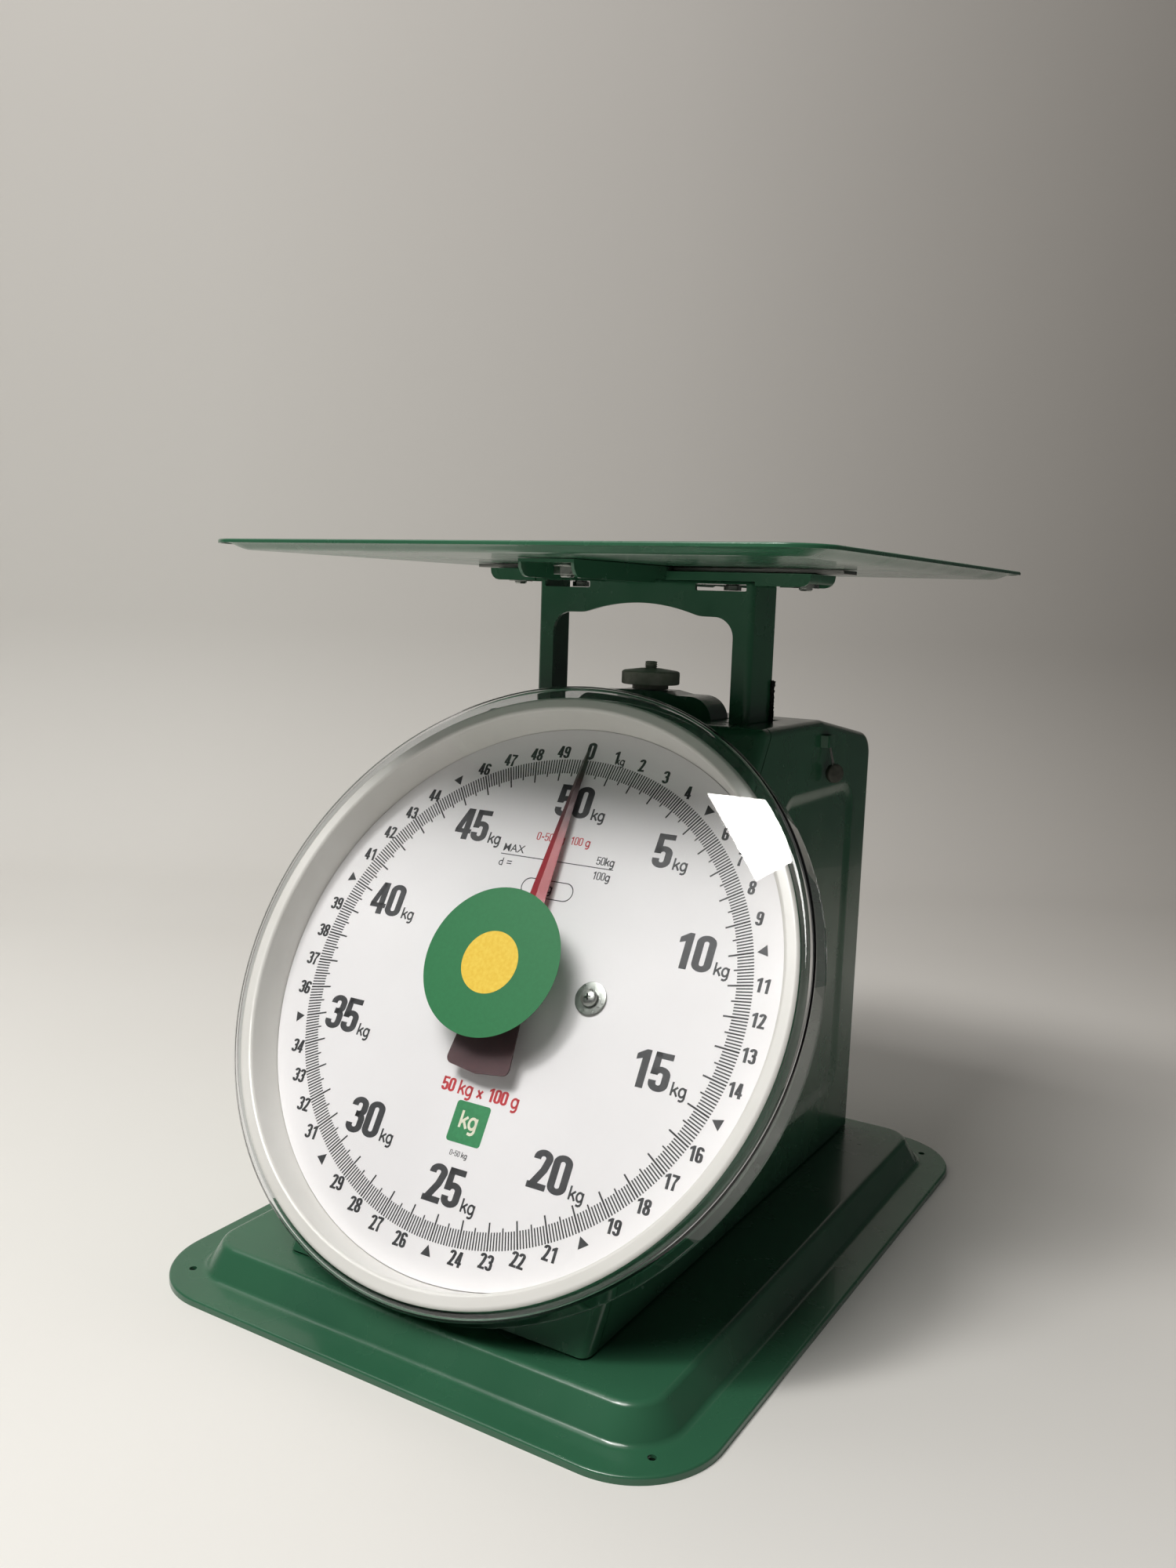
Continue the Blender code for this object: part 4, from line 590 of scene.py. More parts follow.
# The look that each slot has unless a piece has its own
FINISHES = {"green_enamel": GREEN_ENAMEL, "white_enamel": WHITE_ENAMEL, "clear_plastic": CLEAR_ACRYLIC,
            "red_lacquer": POINTER_RED_PAINTED_SHADE, "brass": BRASS, "dark_plating": CHROMATE_PAINTED_LIGHT, "steel": STEEL,
            "zinc_plate": ZINC}


# Base plate: a round-cornered sheet with a raised plateau and four screw holes
def press_base():
    half_x = 0.1275
    half_y = 0.167
    lip = 0.001
    border = 0.0147
    climb = 0.012
    run = 0.0075
    guard = 0.0006
    slope = math.atan2(climb, run)
    crease = 0.0034
    reach = crease * math.tan(slope / 2)
    steps = [(guard, 0.0), (border - lip - guard - reach - guard, 0.0), (guard, 0.0)]
    curl = []
    for i in range(1, 8):
        angle = slope * i / 7
        last = slope * (i - 1) / 7
        inward = crease * (math.sin(angle) - math.sin(last))
        curl.append((inward, crease * (math.cos(last) - math.cos(angle))))
    straight = math.hypot(run, climb) - 2 * reach
    steps += curl
    steps.append((straight * math.cos(slope), straight * math.sin(slope)))
    steps += reversed(curl)
    steps += [(guard, 0.0), (guard, 0.0)]
    piece = press("base_pressing", (-half_x, -half_y, 0.0), (half_x, half_y, 0.003),
                  (0.036, 24), (lip, 4), steps)
    holes = []
    inset = 0.0174
    for x in (-1, 1):
        for y in (-1, 1):
            holes.append(rod(0.0016, 0.02, (x * (half_x - inset), y * (half_y - inset), 0.0)))
    cut(piece, together("base_holes", holes))
    smooth(piece, 45.0)
    dress(piece, "base", "green_enamel", "base_plate")


# Pan: a square sheet with a thin turned-down rim and a shallow sunk middle
def fold_pan():
    half = 0.139
    middle = 0.0225
    steps = [(0.0005, 0.0), (0.0008, 0.0), (0.0005, 0.0)]
    for i in range(10):
        fall = math.cos(math.pi * i / 10) - math.cos(math.pi * (i + 1) / 10)
        steps.append((0.0011, -0.0029 * fall / 2))
    steps += [(0.0005, 0.0), (0.0005, 0.0)]
    piece = press("pan_sheet", (-half, middle - half, PAN_TOP - 0.0016), (half, middle + half, PAN_TOP),
                  (0.018, 20), (0.0008, 5), steps)
    soften(piece, 0.0003, 2, 60.0)
    smooth(piece, 45.0)
    dress(piece, "platform", "green_enamel", "pan")


# Case: the bent skin shared by the rear shell and the front panel
def panel_y(height, setback):
    """Where the plane behind the dial face by the setback stands at a height."""
    rise = math.sin(DIAL_LEAN) * (height - DIAL_CENTRE.z)
    return DIAL_CENTRE.y + (rise + setback) / math.cos(DIAL_LEAN)


def case_skin(name):
    low = (panel_y(CASE_BOTTOM, PANEL_SETBACK), CASE_BOTTOM)
    high = (panel_y(CASE_TOP, PANEL_SETBACK), CASE_TOP)
    side = [low, high, (0.069, CASE_TOP), (CASE_REAR, 0.2245), (CASE_REAR, CASE_BOTTOM)]
    side = rounded(side, (0, 0, 0.02, 0.012, 0), 10)
    piece = trace(name, [(-CASE_HALF, y, z) for y, z in side], True)
    pull(CASE_HALF * 2, 0.0, 0.0)
    close_up()

    def on_rim(edge):
        a, b = edge.verts[0].co, edge.verts[1].co
        beside = span(edge, 0) < 1e-5 and max(a.z, b.z) > CASE_BOTTOM + 1e-5
        ahead = min(a.z, b.z) > CASE_TOP - 1e-5 and max(a.y, b.y) < high[0] + 0.001
        return beside or (ahead and span(edge, 0) > 0.1)
    choose("edges", on_rim)
    round_edges(0.004, 5)
    drop_faces(lambda face: face.normal.z < -0.99)
    return piece


def at_seam(setback, keep_front):
    """In edit mode, cuts the skin along the seam's plane and keeps one side."""
    select_all()
    bpy.ops.mesh.bisect(plane_co=DIAL_CENTRE - DIAL_OUT * setback, plane_no=DIAL_OUT,
                        clear_inner=keep_front, clear_outer=not keep_front)
    leave()


def side_pressing(name, sign):
    """The sunk panel of one side wall: a rounded outline stepped inwards."""
    top = CASE_TOP - 0.031
    bottom = CASE_BOTTOM + 0.026
    rear = CASE_REAR - 0.022
    setback = PANEL_SETBACK + SEAM_DEPTH + 0.034
    corners = [(panel_y(bottom, setback), bottom), (panel_y(top, setback), top), (rear, top), (rear, bottom)]
    outline = rounded(corners, 0.015, 12)
    piece = trace(name, [(sign * CASE_HALF, y, z) for y, z in outline], True)
    bpy.ops.mesh.select_mode(type="FACE")
    select_all()
    look_along(piece, Vector((sign, 0.0, 0.0)))
    half_step = ((0.0013, 0.0001), (0.0015, 0.0003))
    for run, depth in (*half_step, (0.0017, 0.0005), *reversed(half_step)):
        bpy.ops.mesh.inset(thickness=run, depth=-depth, use_even_offset=True)
    bpy.ops.mesh.inset(thickness=0.0006, use_even_offset=True)
    leave()
    return piece


def form_case():
    piece = case_skin("case_pressing")
    at_seam(PANEL_SETBACK + SEAM_DEPTH + SEAM_GAP, False)
    for sign in (-1, 1):
        take(piece)
        edit()
        choose("faces", lambda face: face.normal.x * sign > 0.999 and face.calc_area() > 0.01)
        bpy.ops.mesh.delete(type="ONLY_FACE")
        leave()
        together("case_pressing", [piece, side_pressing("side_pressing", sign)])
        edit()
        wall = sign * CASE_HALF
        choose("edges", lambda edge: len(edge.link_faces) == 1 and all(abs(vert.co.x - wall) < 1e-5
                                                                        for vert in edge.verts)
               or not edge.link_faces)
        bpy.ops.mesh.fill(use_beauty=True)
        leave()
    mend(piece)
    thicken(piece, 0.001)
    under = CASE_TOP - 0.02
    over = 0.26
    slots = []
    for low, high in ((-0.0575, -0.0455), (0.0455, 0.0575)):
        slots.append(block("slot", (low, LOAD_Y - 0.014, under), (high, LOAD_Y + 0.0205, over)))
    slots.append(block("slot", (-0.038, LOAD_Y - 0.0105, under), (0.038, LOAD_Y + 0.0105, over)))
    cut(piece, together("case_slots", slots))
    cut(piece, rod(0.00325, 0.02, (CASE_HALF, 0.078, 0.2105), (0.0, math.pi / 2, 0.0)))
    smooth(piece, 40.0)
    dress(piece, "base", "green_enamel", "case_shell")
    piece = case_skin("front_pressing")
    at_seam(PANEL_SETBACK + SEAM_DEPTH, True)
    thicken(piece, 0.001)
    smooth(piece, 40.0)
    dress(piece, "base", "green_enamel", "front_panel")


# Seal bridge: a loop of sheet lanced out of the side wall above its hole
def lance_seal():
    arch = rounded([(-0.005, 0.0), (-0.0034, 0.0036), (0.0034, 0.0036), (0.005, 0.0)],
                   (0, 0.0012, 0.0012, 0), 5, False)
    inner = [(y * 0.78, max(x - 0.0009, -0.0002)) for y, x in reversed(arch)]
    piece = flat_shape("seal_bridge", arch + inner, height=0.0056)
    put(piece, turn=(math.pi / 2, 0.0, math.pi / 2))
    put(piece, turn=(0.0, math.pi / 2, 0.0))
    put(piece, (CASE_HALF, 0.0700, 0.2258))
    soften(piece, 0.0003, 2, 40.0)
    smooth(piece)
    dress(piece, "base", "green_enamel")
    strands = []
    for side in (-1, 1):
        place = (CASE_HALF + 0.0027, 0.0717 + side * 0.0006, 0.2206)
        strands.append(rod(0.00035, 0.0125, place, (0.12 + side * 0.05, -0.2, 0.0), 12))
        settle()
    wire = together("seal_wire", strands)
    smooth(wire)
    dress(wire, "base", "steel")
    disc = lathe("seal_disc", [(0.0, 0.0004), (0.0040, 0.0004), (0.0044, 0.0007), (0.0046, 0.0013),
                               (0.0046, 0.0026), (0.0043, 0.0032), (0.0030, 0.0035), (0.0, 0.0035)], 20)
    put(disc, (CASE_HALF + 0.0029, 0.0744, 0.2105), (0.0, math.pi / 2, -0.6))
    soften(disc, 0.0002, 2, 25.0)
    smooth(disc)
    dress(disc, "base", "dark_plating", looks=(LEAD,))


# Bowl and clear cover, turned about the dial's axis
def turn_bowl():
    floor = -PANEL_SETBACK + 0.0009
    profile = rounded([(0.1258, 0.0012), (0.1264, 0.0156), (0.1212, 0.0156), (0.1186, floor), (0.008, floor)],
                      (0, 0.0013, 0.0011, 0.006, 0), 6, False)
    piece = lathe("bowl_spinning", profile, 160)
    thicken(piece, 0.0012, 0.0)
    mend(piece)
    outside = []
    for face in piece.data.polygons:
        middle = face.center
        outwards = middle.x * face.normal.x + middle.y * face.normal.y
        outside.append(outwards > 0.0 and middle.z < 0.0150 or face.normal.z < -0.5)
    smooth(piece, 50.0)
    onto_dial(piece)
    dress(piece, "base", "white_enamel", "dial_bowl", looks=(WHITE_ENAMEL, GREEN_ENAMEL))
    for face, green in zip(piece.data.polygons, outside):
        face.material_index = 1 if green else 0


def mould_cover():
    profile = rounded([(0.0, 0.0174), (0.1307, 0.0174), (0.1314, 0.0030)], (0, 0.0030, 0), 8, False)
    piece = lathe("cover_moulding", profile, 192)
    thicken(piece, 0.0016, 0.0)
    take(piece)
    edit()
    close_up()
    choose("edges", lambda edge: len(edge.link_faces) == 2 and edge.calc_face_angle() > 1.2)
    round_edges(0.0005, 3)
    leave()
    smooth(piece, 60.0)
    onto_dial(piece, 0.0007, 0.0012)
    dress(piece, "base", "clear_plastic", "clear_cover")
    piece.visible_shadow = False
    piece.visible_diffuse = False


def stick_label():
    """A plain round label on the cover's front."""
    disc = flat_shape("label_disc", ring_points(0.0317, 96), height=0.00016)
    spot = flat_shape("label_spot", ring_points(0.0132, 72), height=0.00004)
    onto_dial(disc, -0.0031, 0.0047, 0.01829)
    onto_dial(spot, -0.0034, 0.0041, 0.01840)
    smooth(disc)
    dress(disc, "base", "clear_plastic", looks=(LABEL_GREEN,))
    dress(spot, "base", "clear_plastic", looks=(LABEL_YELLOW,))


# Dial sheet and everything printed on it
def cut_dial_sheet():
    piece = flat_shape("dial_sheet", ring_points(0.1187, 192), ring_points(0.003, 32),
                       ring_points(0.0021, 24, (-DIAL_SCREW_X, DIAL_SCREW_RISE)),
                       ring_points(0.0021, 24, (DIAL_SCREW_X, DIAL_SCREW_RISE)),
                       height=0.0006)
    smooth(piece)
    onto_dial(piece, 0.0, 0.0, -0.0003)
    dress(piece, "base", "white_enamel", "dial_plate", looks=(DIAL_SHEET,))


def stroke(points, half, closed=False):
    """A flat stroke of even width along a centre line."""
    left = []
    right = []
    count = len(points)
    for i, point in enumerate(points):
        here = Vector(point)
        headings = []
        if closed or i > 0:
            headings.append((here - Vector(points[i - 1])).normalized())
        if closed or i < count - 1:
            headings.append((Vector(points[(i + 1) % count]) - here).normalized())
        heading = sum(headings, Vector((0.0, 0.0))).normalized()
        stretch = 1.0 / max(0.5, heading.dot(headings[0]))
        side = Vector((-heading.y, heading.x)) * half * stretch
        left.append(tuple(here + side))
        right.append(tuple(here - side))
    if closed:
        return flat_shape("stroke", left, right)
    return flat_shape("stroke", left + right[::-1])


def bend(centre, radius, first, last, steps=10):
    """Points on an arc between two angles in degrees."""
    points = []
    for i in range(steps + 1):
        angle = math.radians(first + (last - first) * i / steps)
        points.append((centre[0] + radius * math.cos(angle), centre[1] + radius * math.sin(angle)))
    return points


def digit_strokes(digit, width, thick):
    """Centre lines and solid shapes of one bold narrow digit, drawn in a tall cell of height 1.33."""
    tall = 1.33
    a = thick / 2
    mid = width / 2
    r = mid - a
    high = tall - a - r
    low = a + r
    right = width - a
    waist = tall * 0.53
    if digit == "0":
        return [("ring", bend((mid, high), r, 0, 180) + bend((mid, low), r, 180, 360))]
    if digit == "1":
        stem = width * 0.66
        return [("shape", [(stem - a, 0.0), (stem + a, 0.0), (stem + a, tall), (stem - a * 0.3, tall),
                           (stem - a - 0.17, tall - 0.2), (stem - a - 0.17, tall - 0.41),
                           (stem - a, tall - 0.33)])]
    if digit == "2":
        path = [(a, high - 0.06)] + bend((mid, high), r, 180, -18, 14)
        path += [(right - 0.075, tall * 0.5), (a + 0.03, a)]
        return [("line", path), ("shape", bar_corners(0.0, 0.0, width, a * 2))]
    if digit == "3":
        top = [(a, high - 0.06)] + bend((mid, high), r, 180, 0) + bend((mid, waist + r), r, 0, -90, 6)
        top += [(mid - 0.07, waist)]
        end = [(mid - 0.07, waist)] + bend((mid, waist - r), r, 90, 0, 6) + bend((mid, low), r, 0, -180)
        end += [(a, low + 0.06)]
        return [("line", top), ("line", end)]
    if digit == "4":
        stem = width - a - 0.07
        bar = tall * 0.27
        return [("shape", bar_corners(stem - a, 0.0, stem + a, tall)),
                ("shape", bar_corners(0.0, bar - a * 0.85, width, bar + a * 0.85)),
                ("shape", [(0.0, bar - a * 0.2), (0.0, bar + a * 0.85), (stem - a * 1.25, tall),
                           (stem + a * 0.2, tall), (stem - a * 0.35, tall * 0.82), (a * 1.9, bar + a * 0.6)])]
    if digit == "5":
        bowl = tall * 0.645 - a - r
        path = [(a, bowl - 0.02)] + bend((mid, bowl), r, 180, 0) + bend((mid, low), r, 0, -180)
        path += [(a, low + 0.08)]
        return [("line", path),
                ("shape", bar_corners(0.02, tall - a * 2, width - 0.03, tall)),
                ("shape", [(0.02, tall), (0.0, bowl - 0.02), (a * 2, bowl - 0.02), (a * 2 - 0.01, tall)])]
    if digit == "6" or digit == "9":
        bowl = tall * 0.615 - a - r
        ring = bend((mid, bowl), r, 0, 180) + bend((mid, low), r, 180, 360)
        path = [(a, low)] + bend((mid, high), r, 180, 0, 14) + [(right, high - 0.07)]
        if digit == "9":
            ring = [(width - x, tall - y) for x, y in ring]
            path = [(width - x, tall - y) for x, y in path]
        return [("ring", ring), ("line", path)]
    if digit == "7":
        return [("shape", bar_corners(0.0, tall - a * 2, width, tall)),
                ("shape", [(width * 0.2, 0.0), (width * 0.2 + a * 2, 0.0), (width * 0.62, tall * 0.5),
                           (width, tall - a * 2), (width, tall - a), (width - a * 1.9, tall - a),
                           (width * 0.3, tall * 0.45)])]
    upper = bend((mid, high), r, 0, 180) + bend((mid, tall * 0.47 + a + r), r, 180, 360)
    lower = bend((mid, tall * 0.55 - a - r), r, 0, 180) + bend((mid, low), r, 180, 360)
    return [("ring", upper), ("ring", lower)]


def draw_digits(width, thick):
    """One flat mesh for each digit, one unit high, standing on the origin."""
    digits = {}
    for digit in "0123456789":
        strokes = []
        for kind, points in digit_strokes(digit, width, thick):
            if kind == "shape":
                strokes.append(flat_shape("stroke", points))
            else:
                strokes.append(stroke(points, thick / 2, kind == "ring"))
        piece = together("digit_" + digit, strokes)
        put(piece, scale=(1.0, 0.75, 1.0))
        digits[digit] = piece
    return digits


def set_number(digits, text, height, x, y, width, gap=0.03):
    """Copies of digits set side by side about a middle point."""
    total = len(text) * width + (len(text) - 1) * gap
    pieces = []
    for i, digit in enumerate(text):
        twin = copy_of(digits[digit], "number")
        left = x + (i * (width + gap) - total / 2) * height
        twin.data.transform(Matrix.Translation((left, y - height / 2, 0.0)) @ Matrix.Scale(height, 4))
        pieces.append(twin)
    return pieces


def letters(text, height, x, y, bold):
    """A line of plain lettering, its capitals one height tall, standing on a point."""
    start()
    bpy.ops.object.text_add()
    piece = bpy.context.object
    piece.data.body = text
    piece.data.size = height / 0.7
    piece.data.offset = bold * height
    piece.data.resolution_u = 4
    bpy.ops.object.convert(target="MESH")
    piece = bpy.context.object
    put(piece, (x, y, 0.0))
    return piece


def unit_mark(letter, height, x, y):
    """One unit letter, a dash or a cross in even strokes, standing on a point."""
    lines = {"k": [[(0.07, 0.0), (0.07, 1.0)], [(0.1, 0.3), (0.52, 0.68)], [(0.26, 0.44), (0.56, 0.0)]],
             "g": [[(0.54, 0.7), (0.54, -0.06), (0.47, -0.2), (0.33, -0.26), (0.13, -0.22)]],
             "x": [[(0.06, 0.05), (0.46, 0.6)], [(0.06, 0.6), (0.46, 0.05)]],
             "-": [[(0.08, 0.42), (0.42, 0.42)]]}[letter]
    half = 0.082
    strokes = [stroke(line, half) for line in lines]
    if letter == "g":
        eye = [(0.30 + 0.24 * px, 0.36 + 0.31 * py) for px, py in ring_points(1.0, 28)]
        strokes.append(stroke(eye, half, True))
    piece = together("unit_mark", strokes)
    put(piece, (x, y, 0.0), scale=(height, height, 1.0))
    return piece


def stamp(digits, text, height, x, y, align=0.0):
    """A line of figures and units in strokes; align 0 starts, 0.5 centres and 1 ends it at the point."""
    room = {"k": 0.62, "g": 0.68, " ": 0.34, "-": 0.52, "x": 0.56}
    usual = 0.58
    pen = x - align * height * sum(room.get(letter, usual) for letter in text)
    pieces = []
    for letter in text:
        if letter.isdigit():
            pieces += set_number(digits, letter, height, pen + 0.27 * height, y + height / 2, DIGIT_WIDTH)
        elif letter != " ":
            pieces.append(unit_mark(letter, height, pen, y))
        pen += room.get(letter, usual) * height
    return pieces


def ticks(name, inner, wide, count):
    """One stroke of the scale, spun round the dial as copies."""
    piece = block(name, (-wide / 2, inner * SCALE_RADIUS, -0.00002), (wide / 2, SCALE_RADIUS, 0.0))
    drop_faces(lambda face: face.normal.z < 0.5)
    select_all()
    bpy.ops.mesh.spin(steps=count, angle=2 * math.pi, dupli=True, center=ORIGIN,
                      axis=(0.0, 0.0, 1.0))
    select_all()
    bpy.ops.mesh.remove_doubles(threshold=MERGE)
    leave()
    return piece


def print_dial():
    thin = [ticks("minor_ticks", 0.935, 0.00058, 500), ticks("half_ticks", 0.921, 0.0006, 100),
            ticks("kilo_ticks", 0.90, 0.0007, 50)]
    triangles = []
    for i in range(1, 10):
        angle = math.radians(90 - 36 * i)
        middle = Vector((math.cos(angle), math.sin(angle))) * SCALE_RADIUS * 1.033
        heading = -middle.normalized()
        side = Vector((-heading.y, heading.x)) * 0.0024
        foot = middle - heading * 0.0021
        corners = [middle + heading * 0.0021, foot + side, foot - side]
        triangles.append(flat_shape("triangle", [tuple(corner) for corner in corners]))
    scale = together("dial_scale_print", thin + triangles)
    wide = 0.57
    gap = 0.02
    small = draw_digits(DIGIT_WIDTH, 0.215)
    bold = draw_digits(wide, 0.215)
    fine = draw_digits(DIGIT_WIDTH, 0.14)
    numbers = []
    for i in range(1, 50):
        if i % 5:
            angle = math.radians(90 - 7.2 * i)
            x = SCALE_RADIUS * 1.036 * math.cos(angle)
            y = SCALE_RADIUS * 1.036 * math.sin(angle)
            numbers += set_number(small, str(i), 0.0058, x, y, 0.5, 0.04)
    numbers += set_number(small, "0", 0.0083, 0.0, SCALE_RADIUS * 1.044, 0.5)
    numbers += stamp(fine, "kg", 0.0036, 0.0136, 0.1034)
    big = ((50, 0.0, 84.2), (5, 48.9, 67.6), (10, 74.5, 28.1), (15, 70.7, -20.2), (20, 42.0, -66.6),
           (25, -1.7, -82.8), (30, -49.5, -66.6), (35, -79.5, -27.5), (40, -78.6, 26.4), (45, -47.4, 67.2))
    tall = 0.0150
    for value, x, y in big:
        text = str(value)
        numbers += set_number(bold, text, tall, x * MM, y * MM, wide, gap)
        right = x * MM + tall * (len(text) * wide + gap * (len(text) - 1)) / 2
        numbers += stamp(small, "kg", 0.0052, right + 0.0016, y * MM - tall / 2)
    digits = together("dial_number_print", numbers)
    rule = bar_corners(-0.0281, 0.0558, 0.0286, 0.0562)
    line = 0.0036
    legend = [letters("MAX", line, -0.0279, 0.0574, 0.012), letters("d =", line, -0.0279, 0.0506, 0.008),
              flat_shape("legend_rule", rule)]
    legend += stamp(fine, "50kg", line, 0.0285, 0.0574, 1.0)
    legend += stamp(fine, "100g", line, 0.0285, 0.0508, 1.0)
    oval = rounded(bar_corners(-0.013, -0.0042, 0.013, 0.0042), 0.0041, 10)
    hole = [(x * 0.965, y * 0.9) for x, y in oval]
    frame_line = flat_shape("legend_oval", oval, hole)
    put(frame_line, (0.0005, 0.0431, 0.0))
    legend.append(frame_line)
    legend += stamp(small, "kg", 0.0042, 0.0005, 0.0416, 0.5)
    legend += stamp(fine, "0-50 kg", 0.0022, 0.0, -0.0711, 0.5)
    words = together("dial_legend_print", legend)
    red = stamp(fine, "0-50 kg  100 g", 0.0037, 0.0007, 0.0645, 0.5)
    red += stamp(bold, "50 kg x 100 g", 0.0056, 0.0007, -0.0475, 0.5)
    red_words = together("dial_red_print", red)
    square = bar_corners(-0.0082, -0.0082, 0.0082, 0.0082)
    badge = flat_shape("dial_badge_print", rounded(square, 0.0014, 6))
    put(badge, (0.0, -0.0578, 0.0))
    badge_mark = together("dial_badge_mark", stamp(small, "kg", 0.0068, 0.0, -0.0600, 0.5))
    for shape in (*small.values(), *bold.values(), *fine.values()):
        bpy.data.objects.remove(shape)
    looks = ((scale, BLACK_INK), (digits, BLACK_INK), (words, BLACK_INK), (red_words, RED_INK),
             (badge, GREEN_INK), (badge_mark, PALE_INK))
    for piece, look in looks:
        onto_dial(piece, w=INK_LIFT * 2 if piece == badge_mark else INK_LIFT)
        dress(piece, "base", "white_enamel", looks=(look,))


# Screws and washers that hold the dial
def dial_fasteners():
    washer = lathe("washer_turning", [(0.0021, 0.0003), (0.0069, 0.0003), (0.0069, 0.0009), (0.0066, 0.0011),
                                      (0.0021, 0.0011), (0.0021, 0.0003)], 64)
    smooth(washer)
    head = 0.0014
    wide = 0.0037
    shank = 0.0018
    tip = -0.0128
    profile = [(0.0, head + 0.0024)]
    profile += [(wide * math.sin(math.radians(a)), head + 0.0008 + 0.0016 * math.cos(math.radians(a)))
                for a in (15, 30, 45, 60, 75, 90)]
    profile += [(wide, head), (shank, head), (shank, tip), (0.0, tip)]
    screw = lathe("screw_turning", profile, 48)
    arms = []
    for turn in (0.0, math.pi / 2):
        arm = block("recess", (-0.0019, -0.00045, head + 0.0006), (0.0019, 0.00045, head + 0.004))
        choose("verts", lambda vert: vert.co.z < head + 0.001)
        bpy.ops.transform.resize(value=(0.4, 0.7, 1.0))
        put(arm, turn=(0.0, 0.0, turn + 0.35))
        arms.append(arm)
    cut(arms[0], arms[1], "UNION")
    cut(screw, arms[0])
    smooth(screw, 40.0)
    kinds = ((washer, "dial_washer_ring_", "dial_washer_"), (screw, "dial_cross_screw_", "dial_screw_"))
    for side, sign in SIDES:
        for shape, name, node in kinds:
            twin = copy_of(shape, name + side)
            onto_dial(twin, sign * DIAL_SCREW_X, DIAL_SCREW_RISE)
            dress(twin, "base", "zinc_plate", node + side)
    bpy.data.objects.remove(washer)
    bpy.data.objects.remove(screw)


# Pointer: a creased blade, a flat balance tail and the ring between them
def bend_pointer():
    root = 0.0058
    blade = trace("pointer_blade", [(-0.0046, root, 0.0066), (0.0, root, 0.0080), (0.0046, root, 0.0066)])
    pull(0.0, 0.0202, -0.0021)
    pull(0.0, 0.0160, 0.0)
    bpy.ops.transform.resize(value=(0.86, 1.0, 1.0))
    pull(0.0, 0.0580, -0.0025)
    bpy.ops.transform.resize(value=(0.38, 1.0, 0.5))
    pull(0.0, 0.0075, -0.0003)
    bpy.ops.transform.resize(value=(0.35, 1.0, 0.3))
    close_up()
    look_along(blade, Vector((0.0, 0.0, 1.0)))
    leave()
    modify(blade, "SOLIDIFY", thickness=0.0004, offset=-1.0)
    smooth(blade, 20.0)
    right = [(0.0124, -0.009), (0.0154, -0.037), (0.0, -0.039)]
    left = [(-x, y) for x, y in reversed(right[:-1])]
    neck = 0.0066
    outline = bend((0.0, 0.0), neck, 65, 0, 6)
    outline += rounded(right + left, 0.003, 6)
    outline += bend((0.0, 0.0), neck, 180, 115, 6)
    tail = flat_shape("pointer_tail", outline, ring_points(0.00434, 40), height=0.0008)
    mend(tail)
    soften(tail, 0.0002, 2, 50.0)
    smooth(tail)
    onto_dial(blade)
    onto_dial(tail, 0.0, 0.0, 0.0074)
    dress(blade, "pointer", "red_lacquer", "pointer")
    dress(tail, "pointer", "red_lacquer", looks=(TAIL_MAROON,))


# Zero knob with its knurled rim, and its threaded stud
def turn_knob():
    low = FRAME_TOP + 0.0003
    profile = ((0.0033, 0.0096), (0.0052, 0.0096), (0.0056, 0.0095), (0.0126, 0.0085), (0.0132, 0.0082),
               (0.0136, 0.0077), (0.0136, 0.0027), (0.0133, 0.0023), (0.0130, 0.0022), (0.0088, 0.0022),
               (0.0085, 0.0019), (0.0085, 0.0002), (0.0083, 0.0), (0.0033, 0.0), (0.0033, 0.0096))
    ridges = 240
    piece = lathe("zero_knob_turning", [(radius, low + rise) for radius, rise in profile], ridges)
    take(piece)
    edit()

    def on_ridge(vert):
        beat = round(math.atan2(vert.co.y, vert.co.x) / (2 * math.pi / ridges))
        return math.hypot(vert.co.x, vert.co.y) > 0.0135 and beat % 2 == 0
    choose("verts", on_ridge)
    bpy.ops.transform.resize(value=(0.988, 0.988, 1.0))
    leave()
    smooth(piece, 45.0)
    put(piece, (0.0, LOAD_Y, 0.0))
    dress(piece, "zero_knob", "dark_plating", "zero_knob")
    crest = 0.0030
    root = 0.0025
    pitch = 0.001
    top = 0.2602
    bottom = 0.2125
    profile = [(0.0, top), (0.0020, top)]
    z = 0.2598
    while z > 0.2155:
        profile += [(crest, z), (crest, z - 0.00012), (root, z - 0.0005), (root, z - 0.00062)]
        z -= pitch
    profile += [(crest, bottom), (0.0, bottom)]
    stud = lathe("zero_stud_thread", profile, 32)
    smooth(stud, 30.0)
    put(stud, (0.0, LOAD_Y, 0.0))
    dress(stud, "spring_hanger", "zinc_plate", "zero_stud", looks=(CHROMATE_PAINTED_LIGHT,))


